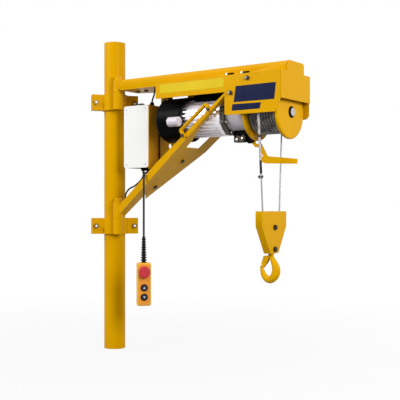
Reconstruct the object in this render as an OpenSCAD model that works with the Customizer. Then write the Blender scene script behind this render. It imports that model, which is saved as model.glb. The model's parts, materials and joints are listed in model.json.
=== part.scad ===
// Electric bracket hoist with a swinging jib, clamped to a round mast.
// X runs along the jib from the mast to the hook, -Y is the control side, Z is up.
// The origin is the middle of the mast's foot. All sizes are in millimetres.

/* [Mast] */
// Outside diameter of the mast tube
mast_d = 76.1; // [70:0.1:82]
// Wall of the mast tube
mast_wall = 4; // [2.5:0.1:6]
// Height of the mast from foot to cap
mast_h = 1100; // [1050:10:1400]
// Thickness of the welded foot disc and of the cap's lid
mast_lid = 5; // [3:1:8]

/* [Hinge] */
// Distance from the mast's axis to the hinge axis
hinge_reach = 59; // [58:0.5:62]
// Direction of the hinge seen from the mast, measured from the jib
hinge_angle = -37; // [-50:1:-25]
// Diameter of the hinge pins
pin_d = 18; // [14:1:22]
// Diameter of the hinge barrels
barrel_d = 35; // [32:1:38]
// Radial running clearance of turning pins
run_gap = 0.05; // [0.02:0.01:0.09]
// Clear gap between faces that turn past each other
face_gap = 0.5; // [0.3:0.1:1]

/* [Clamps] */
// Height of each clamp on the mast
clamp_h = 57; // [45:1:60]
// Height of the upper clamp's lower edge
upper_clamp_z = 855; // [850:1:860]
// Height of the lower clamp's lower edge
lower_clamp_z = 412; // [405:1:414]
// Thickness of the clamp plates
clamp_t = 8; // [6:0.5:10]
// Width of the clamp plates across both flanges
clamp_w = 168; // [160:1:176]
// Open slit between the two clamp halves
clamp_slit = 8; // [4:1:12]
// Diameter of the clamp bolts
clamp_bolt_d = 10; // [8:1:12]
// Distance from the mast's axis to each clamp bolt
clamp_bolt_y = 70; // [66:1:73]

/* [Beam] */
// Height of the top of the beam
beam_top_z = 957; // [950:1:965]
// Width of the beam tube
beam_w = 100; // [90:1:110]
// Depth of the beam tube
beam_h = 34; // [30:1:36]
// Wall of the beam tube
beam_wall = 3; // [2:0.5:4]
// Chamfer along the beam's top edges
beam_chamfer = 7; // [4:1:9]
// Distance from the mast's axis to the start of the beam
beam_start = 66; // [65:1:72]
// Gap between the drum's outer disc and the front cover
cover_gap = 14; // [12:1:40]

/* [Hoist frame] */
// Thickness of the folded sheet parts
sheet = 3; // [2:0.5:4]
// Inside width of the hoist frame between its side plates
bay_w = 178; // [177:1:190]
// Height of the deep part of the side plates' lower edge
side_low_z = 797; // [790:1:805]
// Height of the shallow strip's lower edge
strip_low_z = 870; // [865:1:880]
// Distance from the mast's axis to the start of the strip
strip_start = 262; // [240:1:280]
// Distance from the mast's axis to the deep part of the side plates
deep_start = 540; // [530:1:545]
// Height of the front cover's lower edge
cover_low_z = 837; // [830:1:850]

/* [Cradle] */
// Slope of the cradle's web above the horizontal
cradle_angle = 38.4; // [38:0.1:39]
// Height where the web's underside would meet the mast's axis
cradle_z0 = 433; // [430:1:436]
// Upright height of the cradle's flanges above the web's underside
flange_h = 33; // [28:1:34]
// Distance from the mast's axis to the edge of the motor cut-out
cutout_x = 343; // [335:1:350]
// Clear height under the handle's bar
handle_gap = 11; // [8:1:16]

/* [Motor] */
// Height of the motor and drum axis
axis_z = 803; // [800:1:806]
// Diameter of the fan cowl
cowl_d = 150; // [140:1:152]
// Start of the fan cowl along the jib
cowl_start = 243; // [240:1:250]
// Length of the fan cowl
cowl_l = 102; // [96:1:124]
// Diameter over the motor's cooling fins
fin_d = 126; // [118:1:130]
// Number of cooling fins round the motor
fin_count = 30; // [20:1:36]
// Depth of the cooling fins
fin_depth = 9; // [6:1:12]
// Length of the motor body
motor_l = 155; // [149:1:161]
// Diameter of the bolted flange
flange_d = 132; // [126:1:136]
// Thickness of the bolted flange
flange_t = 15; // [10:1:16]
// Diameter of the gearbox housing
gearbox_d = 100; // [90:1:104]
// Diameter of the capacitor
capacitor_d = 32; // [28:1:36]
// Length of the capacitor
capacitor_l = 40; // [34:1:44]
// Start of the terminal box along the jib
terminal_start = 380; // [376:1:390]
// Length of the terminal box
terminal_l = 95; // [85:1:100]
// Width of the terminal box
terminal_w = 70; // [60:1:80]
// Height of the terminal box's lid above the motor's axis
terminal_h = 94; // [84:1:98]

/* [Drum] */
// Diameter of the drum's end discs
disc_d = 168; // [160:1:168]
// Start of the inner disc along the jib
drum_start = 600; // [598:1:602]
// Inside width of the drum between its discs
drum_w = 111; // [108:0.5:112]
// Thickness of the inner disc
inner_disc_t = 6; // [4:1:7]
// Depth of the outer disc's rim
outer_disc_t = 12; // [8:1:13]
// Diameter of the drum's core tube
core_d = 80; // [70:1:90]
// Outside diameter of the wound rope
pack_d = 132; // [124:1:134]
// Diameter of the drum shaft
shaft_d = 25; // [20:1:28]

/* [Rope] */
// Diameter of the wire rope
rope_d = 5; // [4:0.5:6]
// Place of the rope falls along the jib
fall_x = 656.5; // [654:0.5:660]
// Distance of the fixed rope end from the jib's middle
dead_y = 77; // [75:0.5:78]
// Height of the rope clip's lower edge
clip_z = 591; // [588:1:600]

/* [Hook block] */
// Height of the sheave's axis with the block in its middle place
sheave_z = 443; // [430:1:460]
// Width of the block at its top
block_w = 150; // [138:1:158]
// Width of the block at its foot
block_foot_w = 50; // [46:1:60]
// Thickness of the block
block_t = 24; // [22:1:26]
// Sheet of the block's shell
block_sheet = 3; // [2:0.5:3]
// Pitch radius of the sheave
sheave_r = 48; // [44:1:50]
// Height of the shell above the sheave's axis
block_up = 51; // [46:1:54]
// Depth of the shell below the sheave's axis
block_down = 82; // [80:1:86]

/* [Hook] */
// Diameter of the hook's shank
shank_d = 10; // [8:1:11]

/* [Control box] */
// Start of the control box along the jib
box_start = 80; // [78:1:90]
// Height of the control box's lower edge
box_low_z = 645; // [640:1:655]
// Height of the control box
box_h = 217; // [200:1:218]
// Depth of the control box across the jib
box_depth = 112; // [90:1:120]
// Depth of the box's lid
lid_depth = 22; // [15:1:30]
// Corner radius of the control box
box_corner = 9; // [5:1:14]
// Distance of the box's front from the jib's middle
box_front = 42; // [38:1:42]

/* [Pendant] */
// Width of the pendant's housing
pendant_w = 48; // [44:1:54]
// Depth of the pendant's housing
pendant_depth = 40; // [34:1:46]
// Height of the pendant's housing
pendant_h = 146; // [140:1:150]
// Height of the pendant's lower edge
pendant_z = 172; // [168:1:176]
// Direction that the pendant's front faces, turned from the jib's side
pendant_turn = 44; // [0:1:60]
// Diameter of the pendant's cord
cord_d = 7; // [6:0.5:8]
// Length of the cord's boot on the pendant
boot_l = 88; // [80:1:90]
// Diameter of the emergency button
stop_d = 40; // [34:1:42]
// Diameter of the two push buttons
button_d = 18; // [16:1:22]
// Travel of the push buttons
button_travel = 3; // [2:0.5:4]

/* [Limit lever] */
// Height of the lever's bar
lever_bar_h = 22; // [16:1:24]
// Thickness of the lever
lever_t = 6; // [4:1:8]

/* [Hidden] */
$fn = 64;
eps = 0.01;

yellow = "#e0a60a";
black = "#1c1c1e";
white = "#f1f1ef";
steel = "#b9bbbd";
grey = "#c9c6cf";

// Hinge axis in plan
hinge_x = hinge_reach * cos(hinge_angle);
hinge_y = hinge_reach * sin(hinge_angle);
// Heights of the frame
beam_low_z = beam_top_z - beam_h;
roof_low_z = beam_low_z - sheet;
near_y = -bay_w / 2;
far_y = bay_w / 2;
// Levels of the hinge
upper_clamp_top = upper_clamp_z + clamp_h;
lower_clamp_top = lower_clamp_z + clamp_h;
upper_knuckle_z = upper_clamp_top + face_gap;
upper_knuckle_top = beam_top_z + 3;
lower_knuckle_z = lower_clamp_top + face_gap;
lower_knuckle_h = 58;
// Slope of the cradle
slope = tan(cradle_angle);
web_up = sheet / cos(cradle_angle);
function web_z(x) = cradle_z0 + slope * x;
// Drive line
motor_start = cowl_start + cowl_l;
motor_end = motor_start + motor_l;
gearbox_start = motor_end + flange_t;
gearbox_end = drum_start - 6;
spool_inside = drum_start + inner_disc_t;
spool_end = spool_inside + drum_w;
outer_end = spool_end + outer_disc_t;
// Distance from the mast's axis to the front cover
reach = outer_end + cover_gap;
box_top_z = box_low_z + box_h;
plate_x = 190;

// Cradle plan: near edge, far edge and the motor's cut-out
near_a = [hinge_x + 10, hinge_y - barrel_d / 2 + 7];
near_b = [530, near_y];
far_edge = far_y + 2 * sheet;
arm_end = 140;
arm_far_y = hinge_y + barrel_d / 2 + 9;
far_a = [arm_end - 8, 15];
far_b = [335, far_edge];
cradle_end = deep_start + 32;
// Edges of the cut-out from its lower end: distance along the jib, distance from the middle
cut_near_run = [[0, 32], [35, 36], [60, 50], [82, 64], [162, 65]];
cut_far_run = [[0, 41], [41, 44], [62, 54], [82, 65], [167, 66]];
cut_gear = 46;
flange_taper = 0.08;
cradle_bolts = [[184, 4], [294, 16]];
hanger_x = cradle_end + 3;
hanger_t = 6;
// Bolts through the near side plate, in X and Z, and through the roof, in X and Y
bolt_d = 8;
side_bolts = [[562.5, 866], [625, 907.5]];
roof_bolts = [[105, 8], [140, 8]];
beam_slots = [515, 573];
// Carrying handle along the near edge
handle_x = 366;
handle_l = 142;
handle_slope = atan(slope - flange_taper);
// Electrical parts
plate_near = -box_front;
plate_far = 110;
plate_low = box_low_z - 5;
plate_h = 221;
cable_d = 6;
gland_x = 178;
gland_y = -30;
top_gland = [178, -6];
capacitor_y = cowl_d / 2 + capacitor_d / 2 - 1;
// Routes of the cords and cables, chosen by hand
cord_route = [[178, -30, 633.7], [178, -30.6, 631], [181, -39, 626.5], [185, -49, 626],
              [189, -59, 623], [192, -67, 612], [194, -71, 592], [194, -71, 560],
              [194, -71, 480], [194, -71, 406]];
switch_route = [[152, -22, 633.7], [152, -22, 622], [147, -23, 608], [132, -24, 594],
                [111, -24, 581], [92, -24, 574], [77, -24, 561], [71, -24, 545],
                [85, -24, 534], [124, -24, 545], [160, -26, 569], [220, -20, 616], [280, 20, 664],
                [340, 62, 711], [420, 72, 775], [500, 76, 838], [526, 72, 838],
                [536, 68, 800], [545, 46, 752], [549, 22, 735], [549, 14, 733]];
supply_low = box_top_z + 11.3;
supply_route = [for (p = [[178, -6, 0], [180, -5, 0.26], [184, -2, 0.57], [186, 0, 1]])
    [p.x, p.y, supply_low + p.z * (roof_low_z - 0.3 - supply_low)]];
motor_route = [[196.1, 13, 650], [196.1, 13, 700], [196.1, 13, 760], [197, 13, 820],
               [204, 12, 860], [226, 8, 884], [270, 4, 890], [330, 1, 889], [372, 0, 883]];
// Drum
shaft_start = gearbox_end - 34;
hub_d = 34;
// Limit lever's pivot
lever_x = 586;
lever_z = 722;
// Rope's upper fixing and the block's pins
dead_top = side_low_z + 6;
axle_d = 10;
cross_z = sheave_z - 69;
// Hook's middle line about its shank, in X and Z, and its section's radius at each point
hook_route = [[0, 356], [3, 346], [10, 333], [16, 319], [18, 304], [12, 289], [-1, 278.5],
              [-14, 279], [-25, 288], [-31, 300], [-34.5, 311], [-37, 321]];
hook_radii = [8, 8.5, 10.5, 13, 14.5, 14, 12.5, 11.5, 10, 8.5, 6, 3.5];
latch_reach = 11;
latch_z = 349;
// Pendant
pendant_x = 194;
pendant_y = -71;
stop_z = 287;
up_z = 234;
down_z = 202;
stem_d = 22;

// ---------- shared shapes ----------

// A circle's or outline's extrusion along +X, its first axis along Y and its second along Z
module along_x(x, length) {
    translate([x, 0, 0]) rotate([90, 0, 90]) linear_extrude(length) children();
}

// An outline drawn in X and Z, as a plate from y to y + thickness
module along_y(y, thickness) {
    translate([0, y + thickness, 0]) rotate([90, 0, 0]) linear_extrude(thickness) children();
}

// A rod along X on the drum's axis
module axle_rod(x, length, d) {
    translate([x, 0, axis_z]) rotate([0, 90, 0]) cylinder(d = d, h = length);
}

// A rounded rectangle from its lower left corner
module rounded_rect(w, h, r) {
    translate([r, 0]) square([w - 2 * r, h]);
    translate([0, r]) square([w, h - 2 * r]);
    for (x = [r, w - r], y = [r, h - r]) translate([x, y]) circle(r);
}

// A bolt along +X: hexagon head at the start, shank, and a nut at its end
module bolt_x(d, grip) {
    rotate([0, 90, 0]) {
        translate([0, 0, -0.65 * d]) cylinder(d = 1.9 * d, h = 0.65 * d, $fn = 6);
        cylinder(d = d, h = grip + 0.9 * d);
        translate([0, 0, grip]) cylinder(d = 1.9 * d, h = 0.7 * d, $fn = 6);
    }
}

// Points through a route, with steps points on each stretch
function spline_point(p, i, t) =
    let (a = p[max(i - 1, 0)], b = p[i], c = p[i + 1], d = p[min(i + 2, len(p) - 1)])
    0.5 * (2 * b + (c - a) * t + (2 * a - 5 * b + 4 * c - d) * t * t
           + (3 * b - a - 3 * c + d) * t * t * t);
function spline(p, steps) = concat(
    [for (i = [0 : len(p) - 2], k = [0 : steps - 1]) spline_point(p, i, k / steps)],
    [p[len(p) - 1]]);
function unit(v) = v / norm(v);
function heading(p, i) = unit(p[min(i + 1, len(p) - 1)] - p[max(i - 1, 0)]);

// A closed tube swept along points; radii has one radius for each, flat squeezes it along side
module swept(path, radii, side, sides, flat = 1) {
    n = len(path);
    rings = [for (i = [0 : n - 1])
        let (t = heading(path, i), u = unit(cross(t, side)), v = unit(cross(t, u)))
        for (k = [0 : sides - 1])
            path[i] + radii[i] * (cos(360 * k / sides) * u + flat * sin(360 * k / sides) * v)];
    walls = [for (i = [0 : n - 2], k = [0 : sides - 1])
        let (a = i * sides + k, b = i * sides + (k + 1) % sides)
        [a, a + sides, b + sides, b]];
    first = [for (k = [0 : sides - 1]) k];
    last = [for (k = [0 : sides - 1]) n * sides - 1 - k];
    polyhedron(points = rings, faces = concat([first, last], walls), convexity = 6);
}

// ---------- mast and clamps ----------

module mast() {
    color(yellow) difference() {
        cylinder(d = mast_d, h = mast_h);
        translate([0, 0, mast_lid])
            cylinder(d = mast_d - 2 * mast_wall, h = mast_h - 2 * mast_lid);
    }
}

// Puts a piece drawn with the hinge on +X at its height on the mast
module on_mast(z) {
    rotate([0, 0, hinge_angle]) translate([0, 0, z]) children();
}

// Holes for the two clamp bolts
module clamp_holes(x) {
    for (side = [-1, 1]) translate([x - 1, side * clamp_bolt_y, clamp_h / 2])
        rotate([0, 90, 0]) cylinder(d = clamp_bolt_d, h = clamp_t + 2);
}

module clamp_front(z) {
    web = 26;
    on_mast(z) difference() {
        union() {
            intersection() {
                cylinder(d = mast_d + 2 * clamp_t, h = clamp_h);
                translate([clamp_slit / 2, -clamp_w / 2, 0]) cube([clamp_w, clamp_w, clamp_h]);
            }
            translate([clamp_slit / 2, -clamp_w / 2, 0]) cube([clamp_t, clamp_w, clamp_h]);
            translate([hinge_reach, 0, 0]) cylinder(d = barrel_d, h = clamp_h);
            translate([mast_d / 2 - 4, -web / 2, 0])
                cube([hinge_reach - mast_d / 2, web, clamp_h]);
        }
        translate([0, 0, -1]) cylinder(d = mast_d, h = clamp_h + 2);
        translate([hinge_reach, 0, -1]) cylinder(d = pin_d, h = clamp_h + 2);
        clamp_holes(clamp_slit / 2);
    }
}

module clamp_back(z) {
    on_mast(z) difference() {
        union() {
            intersection() {
                cylinder(d = mast_d + 2 * clamp_t, h = clamp_h);
                translate([-clamp_w - clamp_slit / 2, -clamp_w / 2, 0])
                    cube([clamp_w, clamp_w, clamp_h]);
            }
            translate([-clamp_slit / 2 - clamp_t, -clamp_w / 2, 0])
                cube([clamp_t, clamp_w, clamp_h]);
        }
        translate([0, 0, -1]) cylinder(d = mast_d, h = clamp_h + 2);
        clamp_holes(-clamp_slit / 2 - clamp_t);
    }
}

module clamp_fronts() {
    color(yellow) for (z = [upper_clamp_z, lower_clamp_z]) clamp_front(z);
}

module clamp_backs() {
    color(yellow) for (z = [upper_clamp_z, lower_clamp_z]) clamp_back(z);
}

module clamp_bolts() {
    grip = clamp_slit + 2 * clamp_t;
    color(steel) for (z = [upper_clamp_z, lower_clamp_z], side = [-1, 1]) on_mast(z)
        translate([grip / 2, side * clamp_bolt_y, clamp_h / 2])
            rotate([0, 0, 180]) bolt_x(clamp_bolt_d, grip);
}

module hinge_pin(z, top) {
    translate([hinge_x, hinge_y, z]) cylinder(d = pin_d, h = top + face_gap - z + 1);
    translate([hinge_x, hinge_y, top + face_gap]) cylinder(d = 1.5 * pin_d, h = 13, $fn = 6);
}

module hinge_pins() {
    color(yellow) {
        hinge_pin(upper_clamp_z, upper_knuckle_top);
        hinge_pin(lower_clamp_z, lower_knuckle_z + lower_knuckle_h);
    }
}

// ---------- jib frame ----------

module knuckle_bore(z, h) {
    translate([hinge_x, hinge_y, z - 1]) cylinder(d = pin_d + 2 * run_gap, h = h + 2);
}

module upper_knuckle() {
    h = upper_knuckle_top - upper_knuckle_z;
    cap_t = 4;
    difference() {
        union() {
            translate([hinge_x, hinge_y, upper_knuckle_z]) cylinder(d = barrel_d, h = h);
            translate([hinge_x, -beam_w / 2, beam_low_z])
                cube([beam_start - hinge_x, beam_w / 2 + hinge_y + barrel_d / 2, beam_h]);
            translate([beam_start - cap_t, -beam_w / 2, beam_low_z])
                cube([cap_t, beam_w, beam_h]);
        }
        knuckle_bore(upper_knuckle_z, h);
    }
}

module lower_knuckle() {
    gusset_t = 12;
    gusset_l = 80;
    x1 = hinge_x + gusset_l;
    difference() {
        union() {
            translate([hinge_x, hinge_y, lower_knuckle_z])
                cylinder(d = barrel_d, h = lower_knuckle_h);
            difference() {
                along_y(hinge_y - gusset_t / 2, gusset_t)
                    polygon([[hinge_x, lower_knuckle_z + 2], [x1, web_z(x1)],
                             [x1, web_z(x1) + flange_h - 4],
                             [hinge_x + barrel_d / 2, lower_knuckle_z + lower_knuckle_h - 2],
                             [hinge_x, lower_knuckle_z + lower_knuckle_h - 2]]);
                slope_band(-200, web_up);
            }
        }
        knuckle_bore(lower_knuckle_z, lower_knuckle_h);
    }
}

module hinge_knuckles() {
    color(yellow) {
        upper_knuckle();
        lower_knuckle();
    }
}

function beam_outline(inset) =
    let (w = beam_w / 2 - inset, top = beam_top_z - inset, low = beam_low_z + inset,
         c = beam_chamfer - 0.59 * inset)
    [[-w, low], [w, low], [w, top - c], [w - c, top], [c - w, top], [-w, top - c]];

module jib_beam() {
    slot_l = 34;
    slot_h = 7;
    color(yellow) difference() {
        along_x(beam_start, reach - beam_start) polygon(beam_outline(0));
        along_x(beam_start - 1, reach - beam_start + 2) polygon(beam_outline(beam_wall));
        for (x = beam_slots)
            along_y(-beam_w / 2 - 1, beam_wall + 2) translate([x, beam_low_z + 7])
                rounded_rect(slot_l, slot_h, slot_h / 2 - eps);
        roof_bolt_holes();
    }
}

module roof_bolt_holes() {
    for (p = roof_bolts) translate([p.x, p.y, roof_low_z - 1])
        cylinder(d = bolt_d, h = sheet + beam_wall + 2);
}

module roof_plate() {
    taper_end = 180;
    color(yellow) difference() {
        translate([0, 0, roof_low_z]) linear_extrude(sheet)
            polygon([[beam_start, -beam_w / 2], [strip_start - 12, -beam_w / 2],
                     [strip_start, near_y - sheet], [reach, near_y - sheet],
                     [reach, far_y + sheet], [taper_end, far_y + sheet],
                     [beam_start, beam_w / 2]]);
        roof_bolt_holes();
    }
    // Hanger that carries the gearbox between the side plates
    color(yellow) difference() {
        translate([hanger_x, near_y, side_low_z + 3])
            cube([hanger_t, bay_w, roof_low_z - side_low_z - 3]);
        axle_rod(hanger_x - 1, hanger_t + 2, gearbox_d);
    }
}

module near_side_plate() {
    nose = 19;
    color(yellow) difference() {
        along_y(near_y - sheet, sheet)
            polygon([[strip_start, strip_low_z], [deep_start, strip_low_z],
                     [deep_start, side_low_z + 3], [deep_start + 8, side_low_z],
                     [reach - nose, side_low_z], [reach, cover_low_z],
                     [reach, roof_low_z], [strip_start, roof_low_z]]);
        for (p = side_bolts) translate([p.x, near_y - sheet - 1, p.y]) rotate([-90, 0, 0])
            cylinder(d = bolt_d, h = sheet + 2);
    }
}

module far_side_plate() {
    corner = 16;
    low = side_low_z - 10;
    color(yellow) along_y(far_y, sheet) union() {
        polygon([[strip_start, strip_low_z], [deep_start, strip_low_z], [deep_start, low],
                 [reach - corner, low], [reach - corner, low + corner],
                 [reach, low + corner], [reach, roof_low_z], [strip_start, roof_low_z]]);
        translate([reach - corner, low + corner]) circle(corner);
    }
}

module front_cover() {
    half = beam_w / 2 + 2;
    low_near = near_y - sheet;
    top = beam_top_z + 1.5;
    color(yellow) {
        along_x(reach, sheet)
            polygon([[low_near, cover_low_z], [far_y + sheet, cover_low_z],
                     [far_y + sheet, roof_low_z + sheet], [half, roof_low_z + sheet],
                     [half, top - beam_chamfer], [half - beam_chamfer, top],
                     [beam_chamfer - half, top], [-half, top - beam_chamfer],
                     [-half, roof_low_z + sheet], [low_near, roof_low_z + sheet]]);
    }
}

// ---------- cradle ----------

// Height above the cradle's web of its flanges' upper edge at x
function flange_up(x) = x < 240 ? flange_h : flange_h - (x - 240) * flange_taper;
// The near edge of the cradle at x
function near_edge(x) = near_a.y + (x - near_a.x) * (near_b.y - near_a.y) / (near_b.x - near_a.x);

// Everything between two planes that follow the web's slope, low and high above its underside
module slope_band(low, high) {
    x0 = hinge_x - 30;
    x1 = reach;
    along_y(-200, 400)
        polygon([[x0, web_z(x0) + low], [x1, web_z(x1) + low],
                 [x1, web_z(x1) + high], [x0, web_z(x0) + high]]);
}

module flange_band() {
    x1 = cradle_end + 1;
    along_y(-200, 400)
        polygon([[20, web_z(20)], [x1, web_z(x1)], [x1, web_z(x1) + flange_up(x1)],
                 [240, web_z(240) + flange_up(240)], [20, web_z(20) + flange_up(20)]]);
}

// The web's plan, which ends inside the flanges' thickness
module cradle_plan() {
    seat = 1;
    step_x = arm_end + 60;
    step = [step_x, near_edge(step_x) + seat];
    difference() {
        union() {
            polygon([step, near_b + [0, seat], [cradle_end, near_y + seat],
                     [cradle_end, far_edge - seat], far_b + [0, -seat], far_a + [0.4, -seat]]);
            polygon([near_a + [0, seat], step, [arm_end + 20, arm_far_y - seat],
                     [near_a.x, arm_far_y - seat]]);
        }
        polygon(concat([for (p = cut_near_run) [cutout_x + p.x, -p.y]],
                       [[cradle_end + 1, -cut_gear], [cradle_end + 1, far_y + sheet],
                        [deep_start - 30, far_y + sheet]],
                       [for (i = [len(cut_far_run) - 1 : -1 : 0])
                           [cutout_x + cut_far_run[i].x, cut_far_run[i].y]]));
    }
}

// A wall of the sheet's thickness along a run of plan points, on their left
module plan_wall(points) {
    for (i = [0 : len(points) - 2]) {
        a = points[i];
        b = points[i + 1];
        n = sheet * [a.y - b.y, b.x - a.x] / norm(b - a);
        polygon([a, b, b + n, a + n]);
    }
}

module cradle() {
    color(yellow) difference() {
        union() {
            intersection() {
                slope_band(0, web_up);
                linear_extrude(mast_h) cradle_plan();
            }
            intersection() {
                flange_band();
                linear_extrude(mast_h) {
                    plan_wall([near_a, near_b]);
                    plan_wall([[near_b.x - 1, near_y], [cradle_end, near_y]]);
                    plan_wall([[cradle_end, far_edge], far_b]);
                    plan_wall([far_b, far_a]);
                    plan_wall([[arm_end + 20, arm_far_y], [near_a.x, arm_far_y]]);
                }
            }
        }
        translate([hinge_x, hinge_y, lower_knuckle_z]) cylinder(d = barrel_d, h = lower_knuckle_h);
        for (p = cradle_bolts) cradle_bolt_at(p) translate([0, 0, -10]) cylinder(d = bolt_d, h = 30);
    }
}

module cradle_bolt_at(p) {
    translate([p.x, p.y, web_z(p.x)]) rotate([0, -cradle_angle, 0]) children();
}

// A frame that starts at the cradle's near corner and runs along its near edge
module on_near_edge() {
    translate([near_a.x, near_a.y, 0])
        rotate([0, 0, atan2(near_b.y - near_a.y, near_b.x - near_a.x)]) children();
}

// The handle's frame: its lower foot's corner on the flange, the first axis up the slope
module on_handle() {
    on_near_edge() translate([handle_x - near_a.x, 0, web_z(handle_x) + flange_up(handle_x)])
        rotate([0, -handle_slope, 0]) children();
}

module carry_handle() {
    bar = 8;
    foot = 15;
    depth = 12;
    color(yellow) on_handle() along_y(-depth, depth) difference() {
        union() {
            for (x = [0, handle_l - bar]) translate([x, -foot]) square([bar, foot + handle_gap]);
            translate([bar, handle_gap]) square([handle_l - 2 * bar, bar]);
            for (x = [bar, handle_l - bar]) translate([x, handle_gap]) circle(bar);
        }
        translate([bar, -foot]) square([handle_l - 2 * bar, foot + handle_gap]);
    }
}

module frame_bolts() {
    head = 0.6 * bolt_d;
    color(steel) {
        for (p = side_bolts) translate([p.x, near_y, p.y]) rotate([90, 0, 0]) {
            translate([0, 0, -5.5]) cylinder(d = 1.7 * bolt_d, h = 5.5, $fn = 6);
            cylinder(d = bolt_d, h = sheet + 1);
            translate([0, 0, sheet]) cylinder(d = 1.8 * bolt_d, h = head);
        }
        for (p = roof_bolts) translate([p.x, p.y, roof_low_z]) {
            translate([0, 0, -head]) cylinder(d = 1.9 * bolt_d, h = head, $fn = 6);
            cylinder(d = bolt_d, h = sheet + beam_wall + 1);
            translate([0, 0, sheet + beam_wall]) cylinder(d = 1.8 * bolt_d, h = 6, $fn = 6);
        }
        for (p = cradle_bolts) cradle_bolt_at(p) {
            translate([0, 0, -head]) cylinder(d = 1.8 * bolt_d, h = head);
            cylinder(d = bolt_d, h = sheet + 1);
            translate([0, 0, sheet]) cylinder(d = 1.8 * bolt_d, h = 6, $fn = 6);
        }
        for (x = [4, handle_l - 4]) on_handle() translate([x, -12, -8]) rotate([90, 0, 0])
            cylinder(d = 11, h = 5);
    }
}

// ---------- electrical parts ----------

module motor_plate() {
    post_w = 30;
    post_l = 30;
    color(yellow) {
        difference() {
            translate([plate_x, plate_near, plate_low]) cube([sheet, plate_far - plate_near, plate_h]);
            translate([plate_x - 1, plate_far - 30, plate_low + 85]) rotate([0, 90, 0])
                cylinder(d = 17, h = sheet + 2);
        }
        difference() {
            translate([plate_x + sheet, 25, plate_low + plate_h - 60])
                cube([post_l, post_w, roof_low_z - plate_low - plate_h + 60]);
            translate([plate_x + 2 * sheet, 25 + sheet, plate_low + plate_h - 61])
                cube([post_l, post_w - 2 * sheet, 200]);
        }
    }
}

module control_box() {
    seam = 2;
    shell_y = -box_front + lid_depth;
    lip = 2;
    color(white) {
        along_y(shell_y, box_depth - lid_depth) translate([box_start, box_low_z])
            rounded_rect(plate_x - box_start, box_h, box_corner);
        along_y(shell_y - seam - eps, seam + 2 * eps) translate([box_start + lip, box_low_z + lip])
            rounded_rect(plate_x - box_start - 2 * lip, box_h - 2 * lip, box_corner - lip);
        difference() {
            along_y(-box_front, lid_depth - seam) translate([box_start, box_low_z])
                rounded_rect(plate_x - box_start, box_h, box_corner);
            for (x = [box_start + 12, plate_x - 12], z = [box_low_z + 12, box_low_z + box_h - 12])
                translate([x, -box_front - 1, z]) rotate([-90, 0, 0]) cylinder(d = 7, h = 3);
        }
    }
}

// A cable gland that stands on the plane Z = 0 and points down
module gland(d) {
    rotate([180, 0, 0]) {
        cylinder(d = 1.7 * d, h = 6, $fn = 6);
        translate([0, 0, 6]) cylinder(d = 1.4 * d, h = 5);
    }
}

module cable_glands() {
    color(black) {
        translate([gland_x, gland_y, box_low_z]) gland(13);
        translate([gland_x - 26, gland_y + 8, box_low_z]) gland(11);
        translate([top_gland.x, top_gland.y, box_top_z]) rotate([180, 0, 0]) gland(10);
        translate([142, -20, box_top_z]) cylinder(d = 26, h = 5);
        translate([142, -20, box_top_z + 5]) cylinder(d = 18, h = 3);
    }
}

module motor_axis(x) {
    translate([x, 0, axis_z]) rotate([90, 0, 90]) children();
}

module fan_cowl() {
    round_r = 14;
    lip = 3;
    recess = 12;
    color(black) motor_axis(cowl_start) rotate_extrude() difference() {
        union() {
            square([cowl_d / 2 - round_r, cowl_l]);
            translate([0, round_r]) square([cowl_d / 2, cowl_l - round_r]);
            translate([cowl_d / 2 - round_r, round_r]) circle(round_r);
        }
        translate([0, cowl_l - recess]) square([cowl_d / 2 - lip, recess + 1]);
        translate([-round_r * 6, 0]) square([round_r * 6, cowl_l]);
    }
}

module motor_body() {
    recess = 12;
    back = motor_start - recess;
    shield = 14;
    fin_t = 2.2;
    color(white) {
        along_x(back, motor_end - back - shield) translate([0, axis_z]) {
            circle(d = fin_d - 2 * fin_depth);
            for (i = [0 : fin_count - 1]) rotate(360 * (i + 0.5) / fin_count)
                translate([fin_d / 2 - fin_depth - 2, -fin_t / 2]) square([fin_depth + 2, fin_t]);
        }
        along_x(motor_end - shield - eps, shield + eps) translate([0, axis_z])
            circle(d = fin_d - 2);
    }
}

module motor_flange() {
    bolts = 8;
    color("#4a4a4d") {
        along_x(motor_end, flange_t) translate([0, axis_z]) {
            circle(d = flange_d - 12);
            for (i = [0 : bolts - 1]) rotate(360 * (i + 0.5) / bolts)
                translate([flange_d / 2 - 9, 0]) circle(d = 18);
        }
    }
    color(steel) for (i = [0 : bolts - 1]) motor_axis(gearbox_start)
        rotate(360 * (i + 0.5) / bolts) translate([flange_d / 2 - 9, 0])
            cylinder(d = 11, h = 6, $fn = 6);
}

module gearbox() {
    color(grey) difference() {
        motor_axis(gearbox_start) rotate_extrude() difference() {
            union() {
                square([gearbox_d / 2, gearbox_end - gearbox_start - 6]);
                square([gearbox_d / 2 - 6, gearbox_end - gearbox_start]);
                translate([gearbox_d / 2 - 6, gearbox_end - gearbox_start - 6]) circle(6);
            }
            translate([0, shaft_start - gearbox_start])
                square([shaft_d / 2 + run_gap, gearbox_end - shaft_start + 1]);
        }
    }
}

module terminal_box() {
    lid_h = 6;
    step = 4;
    body_h = terminal_h - lid_h;
    color(black) difference() {
        union() {
            translate([terminal_start, -terminal_w / 2, axis_z])
                cube([terminal_l, terminal_w, body_h]);
            translate([terminal_start + step, step - terminal_w / 2, axis_z + body_h])
                cube([terminal_l - 2 * step, terminal_w - 2 * step, lid_h]);
        }
        axle_rod(terminal_start - 10, terminal_l + 20, fin_d);
    }
    color(black) translate([terminal_start, 0, axis_z + terminal_h - 14]) rotate([0, -90, 0])
        cylinder(d = 14, h = 8, $fn = 6);
}

module cable_harness() {
    d = cable_d;
    color(black) {
        cable(spline(switch_route, 4), d);
        cable(spline(supply_route, 3), d);
        cable(spline(motor_route, 3), d);
    }
}

module cable(path, d) {
    swept(path, [for (p = path) d / 2], [0.37, 0.91, 0.19], 8);
}

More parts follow.
